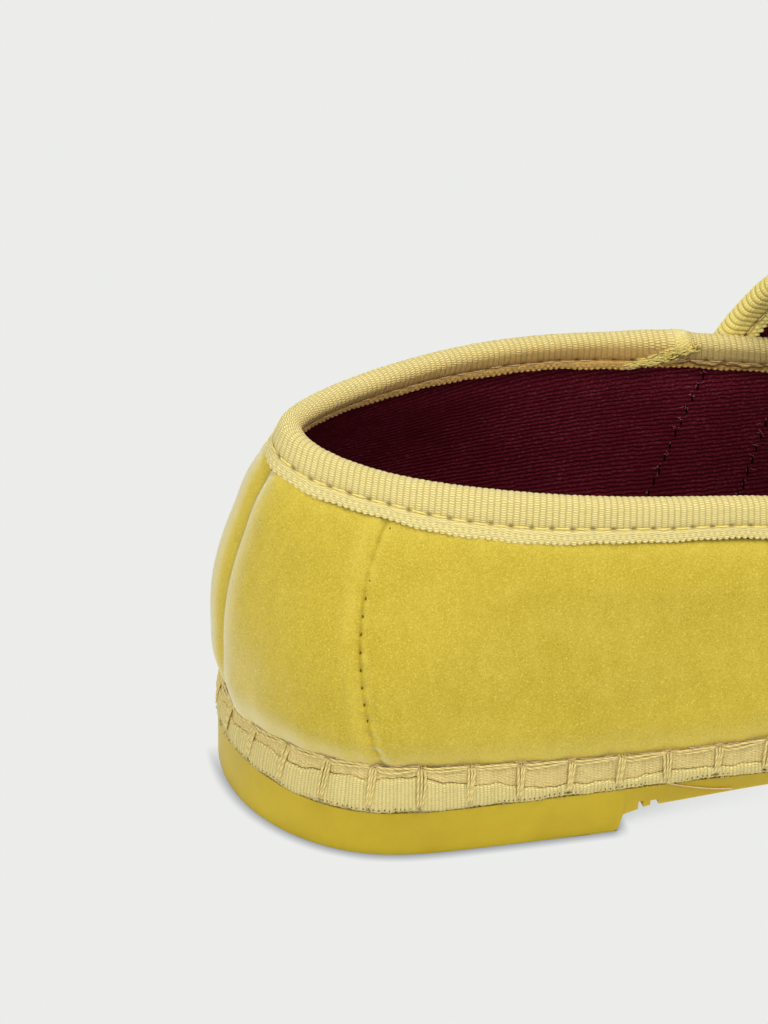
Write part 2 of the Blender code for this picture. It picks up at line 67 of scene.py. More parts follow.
log = logging.getLogger("mary_jane")
WEAVE = "weave"
MIDDLE_Y = 0.003355
WELD = 0.000001
SHARP = math.radians(40)


class Slot(Enum):
    """Material slots of the record."""

    RUBBER = "rubber"
    TEXTILE = "textile"
    TAPE = "tape"
    VELVET = "velvet"
    LINING = "lining"


class Side(Enum):
    """Sides of the foot, as the sign of Y."""

    OUTER = -1.0
    INNER = 1.0


def unit(vectors: Array) -> Array:
    """Scale vectors, the rows of the last axis, to length 1."""
    return vectors / np.maximum(np.linalg.norm(vectors, axis=-1, keepdims=True), 1e-12)


def ease(x: Array | float, start: float, end: float) -> Array:
    """Ease from 0 at start to 1 at end."""
    share = np.clip((np.asarray(x, float) - start) / (end - start), 0.0, 1.0)
    return share * share * (3.0 - 2.0 * share)


def at_places(wanted: Array | float, places: Array, rows: Array) -> Array:
    """Rows between the given rows, at the wanted places."""
    return np.stack([np.interp(wanted, places, column) for column in rows.T], axis=-1)


def bell(x: Array, width: float) -> Array:
    """Bell curve of height 1 whose flanks lie about width from its middle."""
    return np.exp(-(x / width) ** 2)


def cubic(t: Array, start: Array, first: Array, second: Array, end: Array) -> Array:
    """Points at shares t of a cubic curve from start to end, with its two handles."""
    s = 1 - t
    return s ** 3 * start + 3 * s ** 2 * t * first + 3 * s * t ** 2 * second + t ** 3 * end


def smoothed(line: Array, rounds: int) -> Array:
    """Average the inner points of a line with their neighbours, several times over.

    Args:
        line: the points, which are moved.
        rounds: how many times.

    Returns:
        The line.
    """
    for _ in range(rounds):
        line[1:-1] = 0.25 * line[:-2] + 0.5 * line[1:-1] + 0.25 * line[2:]
    return line


def no_marks(points: Array, *names: str) -> dict[str, Array]:
    """Marks of value 0 for each point of a grid."""
    return {name: np.zeros(points.shape[:2]) for name in names}


def path_lengths(points: Array) -> Array:
    """Distance of each point of a path from the path's first point."""
    steps = np.linalg.norm(np.diff(points, axis=0), axis=1)
    return np.concatenate(([0.0], np.cumsum(steps)))


# The last, one row for each section, from the back of the heel round the outer side to the toe and
# back along the inner side. sole_x and top_x are shares of the sole's length. sole_y is a share of
# the heel's width (H) or the ball's (B), top_y of the collar's width and top_z of the back's height.
#  width sole_x  sole_y  top_x   top_y   top_z
LAST = (
    ("H", 0.0000, 0.000, 0.0400, 0.000, 1.000),
    ("H", 0.0175, -0.265, 0.0530, -0.127, 0.985),
    ("H", 0.0575, -0.435, 0.0870, -0.254, 0.963),
    ("H", 0.1310, -0.500, 0.1510, -0.397, 0.939),
    ("H", 0.2380, -0.518, 0.2460, -0.494, 0.903),
    ("B", 0.3570, -0.388, 0.3610, -0.500, 0.842),
    ("B", 0.4560, -0.437, 0.4600, -0.515, 0.761),
    ("B", 0.5550, -0.509, 0.5550, -0.504, 0.684),
    ("B", 0.6460, -0.538, 0.6210, -0.460, 0.646),
    ("B", 0.7450, -0.510, 0.6680, -0.390, 0.622),
    ("B", 0.8410, -0.417, 0.6980, -0.309, 0.613),
    ("B", 0.9280, -0.276, 0.7160, -0.224, 0.609),
    ("B", 0.9820, -0.120, 0.7250, -0.136, 0.608),
    ("B", 1.0000, 0.048, 0.7275, -0.055, 0.608),
    ("B", 0.9830, 0.184, 0.7240, 0.040, 0.608),
    ("B", 0.9160, 0.328, 0.7120, 0.132, 0.610),
    ("B", 0.8210, 0.416, 0.6840, 0.232, 0.621),
    ("B", 0.7060, 0.460, 0.6360, 0.316, 0.641),
    ("B", 0.5950, 0.426, 0.5630, 0.390, 0.682),
    ("B", 0.4760, 0.350, 0.4620, 0.456, 0.763),
    ("B", 0.3650, 0.326, 0.3630, 0.489, 0.842),
    ("H", 0.2460, 0.494, 0.2460, 0.494, 0.903),
    ("H", 0.1310, 0.497, 0.1510, 0.397, 0.939),
    ("H", 0.0575, 0.433, 0.0870, 0.254, 0.963),
    ("H", 0.0175, 0.265, 0.0530, 0.127, 0.985),
)

# How the wall runs from sole to collar, by place along the sole. rise and fall are shares of the
# wall's height, flare of the last's wall_flare, reach of the wall's run from top to sole.
#  along rise  flare fall   reach
WALL = (
    (0.00, 0.39, 1.45, 0.260, 0.500),
    (0.05, 0.39, 1.30, 0.260, 0.440),
    (0.13, 0.40, 0.95, 0.250, 0.320),
    (0.25, 0.42, 0.80, 0.260, 0.290),
    (0.37, 0.43, 0.60, 0.250, 0.350),
    (0.50, 0.46, 0.50, 0.200, 0.450),
    (0.65, 0.46, 0.42, 0.140, 0.600),
    (0.84, 0.52, 0.50, 0.220, 0.600),
    (1.00, 0.60, 0.65, 0.280, 0.590),
)

# Height over the plain welt and lean of the welt, by distance along the sole's edge from the back.
#  place  rise     lean
WELT_SHAPE = (
    (0.000, 0.0002, 0.0010),
    (0.012, 0.0006, 0.0013),
    (0.022, 0.0011, 0.0018),
    (0.030, 0.0015, 0.0019),
    (0.038, 0.0014, 0.0017),
    (0.046, 0.0011, 0.0013),
    (0.060, 0.0006, 0.0006),
    (0.074, 0.0000, 0.0001),
    (0.090, -0.0004, 0.0000),
    (0.104, 0.0001, 0.0000),
    (0.116, 0.0000, 0.0000),
)


def soft_table(rows: Sequence[Sequence[float]], reach: float = 0.004) -> tuple[Array, Array]:
    """Even places over a table and its columns there, rounded off over reach.

    Args:
        rows: a place and its values in each row.
        reach: how far it is rounded.

    Returns:
        The places, and one row of values for each column.
    """
    table = np.array(rows)
    places = np.linspace(table[0, 0], table[-1, 0], 601)
    step = places[1] - places[0]
    half = int(round(3 * reach / step))
    kernel = bell(np.arange(-half, half + 1) * step, reach)
    columns = []
    for k in range(1, table.shape[1]):
        values = np.pad(np.interp(places, table[:, 0], table[:, k]), half, mode="edge")
        columns.append(np.convolve(values, kernel / kernel.sum(), mode="valid"))
    return places, np.array(columns)


@dataclass
class Last:
    """The shape that every piece follows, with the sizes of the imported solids."""

    sole_length: float = 0.2522
    heel_width: float = 0.0634
    ball_width: float = 0.0892
    collar_width: float = 0.0544
    back_height: float = 0.0675
    wall_flare: float = 0.0037
    forefoot_rubber: float = 0.0047
    heel_rise: float = 0.0043
    heel_breast: float = 0.0588
    breast_draft: float = 0.0009
    breast_height: float = 0.0043
    arch_height: float = 0.0063
    toe_spring: float = 0.0085
    waist_inset: float = 0.0035
    welt_height: float = 0.0067
    upper_inset: float = 0.0006
    gap: float = 0.0003
    profile_samples: int = 81
    turn_step: float = 0.0008
    fall_step: float = 0.0006
    knots: Array = field(init=False)
    values: Array = field(init=False)
    bend: Array = field(init=False)
    edge_table: tuple[Array, Array] = field(init=False)
    collar_table: tuple[Array, Array] = field(init=False)
    welt_table: tuple[Array, Array] = field(init=False)

    def __post_init__(self) -> None:
        """Work out the closed curve through the table and its two arc lengths."""
        rows = []
        for width, sole_x, sole_y, top_x, top_y, top_z in LAST:
            across = self.heel_width if width == "H" else self.ball_width
            rows.append((sole_x * self.sole_length, sole_y * across, top_x * self.sole_length,
                         top_y * self.collar_width, top_z * self.back_height))
        values = np.array(rows)
        ring = np.vstack((values, values[:1]))
        steps = np.linalg.norm(np.diff(ring[:, :2], axis=0), axis=1)
        steps = steps + np.linalg.norm(np.diff(ring[:, 2:], axis=0), axis=1)
        self.knots = np.concatenate(([0.0], np.cumsum(steps)))
        self.values = values
        self.bend = self.spline_bend(values, steps)
        places = np.linspace(0.0, 1.0, 4001)
        rows = self.curve(places)
        self.edge_table = (places, path_lengths(rows[:, :2]))
        self.collar_table = (places, path_lengths(rows[:, 2:]))
        self.welt_table = soft_table(WELT_SHAPE)

    @staticmethod
    def spline_bend(values: Array, span: Array) -> Array:
        """Second derivatives of the closed cubic curve at its knots.

        Args:
            values: one row for each knot.
            span: distance from each knot to the next.

        Returns:
            One row for each knot.
        """
        count = len(values)
        system = np.zeros((count, count))
        right = np.zeros_like(values)
        for i in range(count):
            before, after = span[i - 1], span[i]
            system[i, i - 1] += before
            system[i, i] += 2.0 * (before + after)
            system[i, (i + 1) % count] += after
            ahead = (values[(i + 1) % count] - values[i]) / after
            behind = (values[i] - values[i - 1]) / before
            right[i] = 6.0 * (ahead - behind)
        return np.linalg.solve(system, right)

    def curve(self, u: Array) -> Array:
        """Rows of sole x and y and collar x, y and z at places u, where 1 is once round.

        Args:
            u: places round the shoe.

        Returns:
            One row for each place.
        """
        count = len(self.values)
        place = np.mod(u, 1.0) * self.knots[-1]
        i = np.clip(np.searchsorted(self.knots, place, side="right") - 1, 0, count - 1)
        j = (i + 1) % count
        width = (self.knots[i + 1] - self.knots[i])[:, None]
        b = (place - self.knots[i])[:, None] / width
        a = 1.0 - b
        curl = (a ** 3 - a) * self.bend[i] + (b ** 3 - b) * self.bend[j]
        return a * self.values[i] + b * self.values[j] + curl * width * width / 6.0

    def outward(self, u: Array) -> Array:
        """Horizontal directions out of the shoe at u."""
        run = unit(self.curve(u + 0.0005)[:, :2] - self.curve(u - 0.0005)[:, :2])
        return np.stack((run[:, 1], -run[:, 0]), axis=1)

    def edge(self, u: Array, inset: Array | float = 0.0) -> Array:
        """Points of the welt's outer line at u, moved in by inset."""
        shift = np.broadcast_to(np.asarray(inset, float), np.shape(u))[:, None]
        return self.curve(u)[:, :2] - self.outward(u) * shift

    def toe_lift(self, x: Array) -> Array:
        """Height that the toe spring adds at x.

        Args:
            x: places along the shoe.

        Returns:
            Heights.
        """
        start = 0.753 * self.sole_length
        share = np.clip((x - start) / (self.sole_length - start), 0.0, None)
        return self.toe_spring * share * share

    def seat(self, x: Array) -> Array:
        """Height of the rubber's upper face at x."""
        drop = ease(x, 0.357 * self.sole_length, 0.634 * self.sole_length)
        return self.forefoot_rubber + self.heel_rise * (1.0 - drop) + self.toe_lift(x)

    def ground(self, x: Array) -> Array:
        """Height of the rubber's lower face at x.

        Args:
            x: places along the shoe.

        Returns:
            Heights.
        """
        top = 0.377 * self.sole_length
        end = 0.587 * self.sole_length
        rise = self.breast_height + (self.arch_height - self.breast_height) * ease(
            x, self.heel_breast, top)
        fall = self.arch_height * (1.0 - ease(x, top, end)) + self.toe_lift(x)
        heel = x <= self.heel_breast + 0.5 * self.breast_draft
        return np.where(heel, 0.0, np.where(x < top, rise, fall))

    def welt_shape(self, u: Array) -> tuple[Array, Array]:
        """Height and lean of the welt at u.

        Args:
            u: places round the shoe.

        Returns:
            Heights and leans.
        """
        place = np.interp(np.mod(u, 1.0), *self.edge_table)
        away = np.minimum(place, self.edge_table[1][-1] - place)
        rise, lean = (np.interp(away, self.welt_table[0], column) for column in self.welt_table[1])
        return self.welt_height + rise, lean

    def profile(self, u: Array) -> tuple[Array, Array]:
        """Points of the upper's outer face at u, from the collar down, and their distances.

        Args:
            u: places round the shoe.

        Returns:
            Rows of points and of their distances from the collar.
        """
        foot = self.edge(u, self.upper_inset)
        top = self.curve(u)[:, 2:]
        low = self.seat(foot[:, 0]) + self.welt_height + self.gap
        tall, lean = self.welt_shape(u)
        tuck = np.maximum(lean - 0.0002, 0.0)
        height = top[:, 2] - low
        table = np.array(WALL)
        along = foot[:, 0] / self.sole_length
        rise, flare, fall, reach = at_places(along, table[:, 0], table[:, 1:]).T
        start = np.column_stack((foot, low))
        swell = self.outward(u) * (flare * self.wall_flare)[:, None]
        first = start + np.column_stack((swell, rise * height))
        second = top + (start - top) * np.column_stack((reach, reach, 0.0 * reach))
        second[:, 2] -= fall * height
        first[:, :2] += self.outward(u) * (0.8 * tuck)[:, None]
        start[:, :2] -= self.outward(u) * tuck[:, None]
        start[:, 2] += tall - self.welt_height - self.gap - 0.0005
        t = np.linspace(1.0, 0.0, self.profile_samples)[None, :, None]
        start, first, second, top = (p[:, None, :] for p in (start, first, second, top))
        points = cubic(t, start, first, second, top)
        steps = np.linalg.norm(np.diff(points, axis=1), axis=2)
        return points, np.hstack((np.zeros((len(u), 1)), np.cumsum(steps, axis=1)))

    def wall_length(self, u: Array) -> Array:
        """Length of the wall from the collar's top to the welt at u."""
        return self.profile(u)[1][:, -1]

    def wall(self, u: Array, depth: Array) -> Array:
        """Points of the outer face, depth below the collar's top; a negative depth lies above it.

        Args:
            u: places round the shoe.
            depth: a row of depths for each place.

        Returns:
            A grid of points, one row for each place.
        """
        points, lengths = self.profile(u)
        depth = np.broadcast_to(depth, (len(u), np.shape(depth)[-1]))
        grid = np.empty(depth.shape + (3,))
        for i in range(len(u)):
            for k in range(3):
                grid[i, :, k] = np.interp(depth[i], lengths[i], points[i, :, k])
        rise = (points[:, 1] - points[:, 0]) / lengths[:, 1:2]
        return grid + np.minimum(depth, 0.0)[:, :, None] * rise[:, None, :]

    def wall_normals(self, u: Array, depth: Array) -> Array:
        """Outward directions of the outer face, for the same grid as wall.

        Args:
            u: places round the shoe.
            depth: a row of depths for each place.

        Returns:
            A grid of directions.
        """
        depth = np.maximum(np.broadcast_to(depth, (len(u), np.shape(depth)[-1])), 0.0)
        along = self.wall(u + self.turn_step, depth) - self.wall(u - self.turn_step, depth)
        start = np.maximum(depth - self.fall_step, 0.0)
        fall = self.wall(u, start + 2 * self.fall_step) - self.wall(u, start)
        return unit(np.cross(fall, along))

    def wall_line(self, u: Array, depth: Array) -> tuple[Array, Array]:
        """Points and outward directions at pairs of a place and a depth."""
        rows = depth[:, None]
        return self.wall(u, rows)[:, 0], self.wall_normals(u, rows)[:, 0]

    def edge_places(self, lengths: Array) -> Array:
        """Places u at these distances along the sole's edge from the back of the heel."""
        return np.interp(lengths, self.edge_table[1], self.edge_table[0])

    def collar_places(self, lengths: Array) -> Array:
        """Places u at these distances along the collar from its back."""
        return np.interp(lengths, self.collar_table[1], self.collar_table[0])

    def place_at(self, x: Array | float, side: Side, column: int, places: Array) -> Array:
        """Places u where one column of the curve is x on one side of the foot.

        Args:
            x: places along the shoe.
            side: side of the foot.
            column: column of the curve's rows.
            places: even places on the outer side.

        Returns:
            Places round the shoe.
        """
        if side is Side.INNER:
            places = 1.0 - places
        return np.interp(x, self.curve(places)[:, column], places)

    def collar_at(self, x: Array | float, side: Side) -> Array:
        """Places u where the collar lies at x on one side of the foot."""
        return self.place_at(x, side, 2, np.linspace(0.02, 0.40, 191))

    def edge_at(self, x: Array | float, side: Side) -> Array:
        """Places u where the sole's edge lies at x on one side of the foot."""
        return self.place_at(x, side, 0, np.linspace(0.0, 0.45, 451))


@dataclass
class Shape:
    """A mesh in numbers: its points, the corners of its faces, and what its materials read."""

    points: Array
    corners: Array
    starts: Array
    uv: Array
    marks: dict[str, Array] = field(default_factory=dict)


def quad_volume(points: Array, quads: Array) -> float:
    """Volume inside a closed skin of quads, below 0 where they face inwards."""
    a, b, c, d = (points[quads[:, k]] for k in range(4))
    return float(np.einsum("ij,ij->", a, np.cross(b, c)) + np.einsum("ij,ij->", a, np.cross(c, d)))


def stretched(values: Array, wrap: bool, total: float, axis: int) -> Array:
    """Repeat the first row of a grid at its end, total further on, where the grid closes.

    Args:
        values: the grid.
        wrap: True if it closes.
        total: what is added.
        axis: direction in which it closes.

    Returns:
        The longer grid.
    """
    if not wrap:
        return values
    first = np.take(values, [0], axis=axis) + total
    return np.concatenate((values, first), axis=axis)


def grid_shape(points: Array, along: Array, across: Array, ring: bool, total: float = 0.0,
               marks: dict[str, Array] | None = None) -> Shape:
    """Skin over closed sections, either closed round the shoe or capped at both ends.

    Args:
        points: one closed section of points for each place along the piece.
        along: place of each point along the piece, in metres.
        across: place of each point across the piece, in metres.
        ring: True if the last section joins the first.
        total: length of the closed piece along its run.
        marks: named values of the points.

    Returns:
        The shape, with its faces pointing out.
    """
    count, size = points.shape[:2]
    index = np.arange(count * size).reshape(count, size)
    i = np.arange(count if ring else count - 1)[:, None]
    j = np.arange(size)[None, :]
    near, far = index[i, j], index[i, (j + 1) % size]
    quads = np.stack((near, far, index[(i + 1) % count, (j + 1) % size],
                      index[(i + 1) % count, j]), axis=-1).reshape(-1, 4)
    along = np.broadcast_to(along if np.ndim(along) == 2 else along[:, None], (count, size))
    across = np.broadcast_to(across, (count, size))
    u = stretched(stretched(along, ring, total, 0), True, 0.0, 1)
    v = stretched(stretched(across, ring, 0.0, 0), True, 0.0, 1)
    weave = np.stack((u, v), axis=-1)
    corners_uv = np.stack((weave[i, j], weave[i, j + 1], weave[i + 1, j + 1], weave[i + 1, j]),
                          axis=2).reshape(-1, 4, 2)
    flat = points.reshape(-1, 3)
    corners = [quads.ravel()]
    uv = [corners_uv.reshape(-1, 2)]
    starts = [np.arange(len(quads)) * 4]
    volume = quad_volume(flat - flat.mean(axis=0), quads)
    if volume < 0:
        corners[0] = quads[:, ::-1].ravel()
        uv[0] = corners_uv[:, ::-1].reshape(-1, 2)
    if not ring:
        caps = [index[0][::-1], index[-1]]
        if volume < 0:
            caps = [index[0], index[-1][::-1]]
        for cap in caps:
            starts.append(np.array([sum(len(c) for c in corners)]))
            corners.append(cap)
            uv.append(np.column_stack((along.ravel()[cap], across.ravel()[cap])))
    flat_marks = {name: np.broadcast_to(value, (count, size)).ravel()
                  for name, value in (marks or {}).items()}
    return Shape(flat, np.concatenate(corners), np.concatenate(starts), np.concatenate(uv),
                 flat_marks)


def tube_shape(paths: Array | Sequence[Array], normals: Array | Sequence[Array],
               radius: float | Array, sides: int = 8, flat: float = 1.0) -> Shape:
    """Round threads along paths of equal point count, drawn in at both ends.

    Args:
        paths: one row of points for each thread.
        normals: a direction away from what the thread lies on, for each point.
        radius: radius of the threads, or one for each thread.
        sides: sides of each thread.
        flat: height of a thread as a share of its width.

    Returns:
        The shape, with its faces pointing out.
    """
    paths, normals = np.asarray(paths), np.asarray(normals)
    count, length = paths.shape[:2]
    run = unit(np.gradient(paths, axis=1))
    side = unit(np.cross(run, normals))
    up = np.cross(side, run)
    taper = np.ones(length)
    taper[[0, -1]] = 0.35
    taper[[1, -2]] = 0.86
    size = np.broadcast_to(np.reshape(radius, (-1, 1)), (count, 1)) * taper[None, :]
    turn = np.linspace(0.0, 2 * np.pi, sides, endpoint=False)
    ring = (side[:, :, None] * np.cos(turn)[None, None, :, None]
            + up[:, :, None] * (flat * np.sin(turn))[None, None, :, None])
    points = paths[:, :, None] + ring * size[:, :, None, None]
    index = np.arange(count * length * sides).reshape(count, length, sides)
    after = np.roll(index, -1, axis=2)
    quads = np.stack((index[:, :-1], after[:, :-1], after[:, 1:], index[:, 1:]), axis=-1)
    quads = quads.reshape(-1, 4)
    steps = np.linalg.norm(np.diff(paths, axis=1), axis=2)
    place = np.hstack((np.zeros((count, 1)), np.cumsum(steps, axis=1)))
    u = np.repeat(place[:, :, None], sides + 1, axis=2)
    v = np.broadcast_to(np.linspace(0.0, 1.0, sides + 1), u.shape)
    weave = np.stack((u, v), axis=-1)
    uv = np.stack((weave[:, :-1, :-1], weave[:, :-1, 1:], weave[:, 1:, 1:], weave[:, 1:, :-1]),
                  axis=-2).reshape(-1, 4, 2)
    flat_points = points.reshape(-1, 3)
    caps = [index[:, 0, ::-1], index[:, -1]]
    if quad_volume(flat_points - flat_points.mean(axis=0), quads) < 0:
        quads, uv = quads[:, ::-1], uv[:, ::-1]
        caps = [index[:, 0], index[:, -1, ::-1]]
    ends = np.vstack(caps)
    corners = np.concatenate((quads.ravel(), ends.ravel()))
    starts = np.concatenate((np.arange(len(quads)) * 4,
                             quads.size + np.arange(len(ends)) * sides))
    uv = np.vstack((uv.reshape(-1, 2), np.zeros((ends.size, 2))))
    return Shape(flat_points, corners, starts, uv)


def joined(shapes: Sequence[Shape]) -> Shape:
    """One shape of several.

    Args:
        shapes: the shapes.

    Returns:
        The shape.
    """
    points, corners, starts, uv = [], [], [], []
    marks = {name: [] for shape in shapes for name in shape.marks}
    offset, corner = 0, 0
    for shape in shapes:
        points.append(shape.points)
        corners.append(shape.corners + offset)
        starts.append(shape.starts + corner)
        uv.append(shape.uv)
        for name, values in marks.items():
            values.append(shape.marks.get(name, np.zeros(len(shape.points))))
        offset += len(shape.points)
        corner += len(shape.corners)
    return Shape(np.concatenate(points), np.concatenate(corners), np.concatenate(starts),
                 np.concatenate(uv), {name: np.concatenate(v) for name, v in marks.items()})


@dataclass
class Workshop:
    """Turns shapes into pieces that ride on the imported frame."""

    shift: Array

    def mesh(self, name: str, shape: Shape) -> bpy.types.Mesh:
        """Write a shape into a new mesh, moved into the frame.

        Args:
            name: name of the mesh.
            shape: its shape.

        Returns:
            The mesh.
        """
        mesh = bpy.data.meshes.new(name)
        mesh.vertices.add(len(shape.points))
        mesh.vertices.foreach_set("co", (shape.points + self.shift).astype(np.float32).ravel())
        mesh.loops.add(len(shape.corners))
        mesh.loops.foreach_set("vertex_index", shape.corners.astype(np.int32))
        mesh.polygons.add(len(shape.starts))
        mesh.polygons.foreach_set("loop_start", shape.starts.astype(np.int32))
        layer = mesh.uv_layers.new(name=WEAVE)
        layer.data.foreach_set("uv", shape.uv.astype(np.float32).ravel())
        for mark, values in shape.marks.items():
            attribute = mesh.attributes.new(mark, "FLOAT", "POINT")
            attribute.data.foreach_set("value", values.astype(np.float32))
        mesh.update(calc_edges=True)
        mesh.validate()
        mesh.shade_smooth()
        return mesh

    def place(self, name: str, mesh: bpy.types.Mesh, material: bpy.types.Material, slot: Slot,
              stands_for: Sequence[str] = ()) -> bpy.types.Object:
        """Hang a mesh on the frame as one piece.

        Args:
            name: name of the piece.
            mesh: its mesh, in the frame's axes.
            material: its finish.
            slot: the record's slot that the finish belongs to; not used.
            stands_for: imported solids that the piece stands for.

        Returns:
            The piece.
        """
        item = bpy.data.objects.new(name, mesh)
        bpy.context.scene.collection.objects.link(item)
        mesh.materials.append(material)
        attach(item, "root")
        if stands_for:
            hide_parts(*stands_for)
        log.info("%s: %d faces", name, len(mesh.polygons))
        return item

    def add(self, name: str, shape: Shape, material: bpy.types.Material, slot: Slot,
            stands_for: Sequence[str] = ()) -> bpy.types.Object:
        """Make a piece from a shape."""
        return self.place(name, self.mesh(name, shape), material, slot, stands_for)


class Bench:
    """Places and joins the nodes of one material or group."""

    def __init__(self, tree: bpy.types.NodeTree) -> None:
        """Work on one node tree."""
        self.tree = tree

    def node(self, kind: str, inputs: dict | None = None, **settings: object) -> bpy.types.Node:
        """Add a node.

        Args:
            kind: the node's type without its first words.
            inputs: values or sockets for its inputs, by name or number.
            settings: its other settings.

        Returns:
            The node.
        """
        item = self.tree.nodes.new("ShaderNode" + kind)
        for name, value in settings.items():
            setattr(item, name, value)
        for name, value in (inputs or {}).items():
            if isinstance(value, bpy.types.NodeSocket):
                self.tree.links.new(value, item.inputs[name])
            else:
                item.inputs[name].default_value = value
        return item

    def math(self, operation: str, first: object, second: object = 0.0) -> bpy.types.NodeSocket:
        """Sum, product or other function of one or two values."""
        return self.node("Math", {0: first, 1: second}, operation=operation).outputs[0]

    def total(self, *parts: tuple[object, float]) -> bpy.types.NodeSocket:
        """Sum of values times their weights.

        Args:
            parts: pairs of a value and its weight.

        Returns:
            The sum.
        """
        result = None
        for value, weight in parts:
            part = value if weight == 1 else self.math("MULTIPLY", value, weight)
            result = part if result is None else self.math("ADD", result, part)
        return result

    def waves(self, turns: object) -> bpy.types.NodeSocket:
        """Round ridges, one for each whole turn."""
        return self.math("ABSOLUTE", self.math("SINE", self.math("MULTIPLY", turns, math.pi)))

    def mix(self, share: object, first: object, second: object) -> bpy.types.NodeSocket:
        """Colour between two colours."""
        return self.node("Mix", {0: share, 6: first, 7: second}, data_type="RGBA").outputs[2]

    def span(self, value: object, low: float, high: float, start: float = 0.0,
             end: float = 1.0) -> bpy.types.NodeSocket:
        """Value moved from the span low to high into the span start to end."""
        return self.node("MapRange", {0: value, 1: low, 2: high, 3: start, 4: end}).outputs[0]

    def noise(self, place: object, scale: object, detail: float = 2.0,
              roughness: float = 0.5) -> bpy.types.NodeSocket:
        """Soft random values over space.

        Args:
            place: coordinates.
            scale: size of its grain.
            detail: number of finer layers.
            roughness: strength of those layers.

        Returns:
            The values.
        """
        item = self.node("TexNoise", {"Vector": place, "Scale": scale, "Detail": detail,
                                      "Roughness": roughness})
        return item.outputs["Fac"]

    def stretched(self, place: object, scale: tuple[float, float, float],
                  turn: float = 0.0) -> bpy.types.NodeSocket:
        """Coordinates scaled and turned about Z.

        Args:
            place: coordinates.
            scale: scale along each axis.
            turn: angle in radians.

        Returns:
            The new coordinates.
        """
        item = self.node("Mapping", {"Vector": place, "Scale": scale,
                                     "Rotation": (0.0, 0.0, turn)})
        return item.outputs[0]

    def group(self, tree: bpy.types.NodeTree, inputs: dict | None = None) -> bpy.types.Node:
        """Add a group node with these input values.

        Args:
            tree: the group.
            inputs: values by name.

        Returns:
            The node.
        """
        item = self.node("Group", None, node_tree=tree)
        for name, value in (inputs or {}).items():
            item.inputs[name].default_value = value
        return item

    def weave(self) -> tuple[bpy.types.NodeSocket, bpy.types.NodeSocket]:
        """Places along and across a woven piece, in metres.

        Returns:
            Both places.
        """
        uv = self.node("UVMap", None, uv_map=WEAVE).outputs[0]
        split = self.node("SeparateXYZ", {0: uv})
        return split.outputs[0], split.outputs[1]

    def space(self) -> bpy.types.NodeSocket:
        """Places in the shoe's frame."""
        return self.node("TexCoord").outputs["Object"]

    def mark(self, name: str) -> bpy.types.NodeSocket:
        """Values that the piece's points carry."""
        return self.node("Attribute", None, attribute_name=name).outputs["Fac"]


def new_group(name: str, inputs: Sequence[tuple[str, float]],
              outputs: Sequence[str]) -> tuple[Bench, bpy.types.Node, bpy.types.Node]:
    """Start a node group of number sockets.

    Args:
        name: name of the group.
        inputs: names and usual values of its inputs.
        outputs: names of its outputs.

    Returns:
        Its bench, its input node and its output node.
    """
    tree = bpy.data.node_groups.new(name, "ShaderNodeTree")
    for label, value in inputs:
        socket = tree.interface.new_socket(label, in_out="INPUT", socket_type="NodeSocketFloat")
        socket.default_value = value
    for label in outputs:
        tree.interface.new_socket(label, in_out="OUTPUT", socket_type="NodeSocketFloat")
    bench = Bench(tree)
    return bench, tree.nodes.new("NodeGroupInput"), tree.nodes.new("NodeGroupOutput")


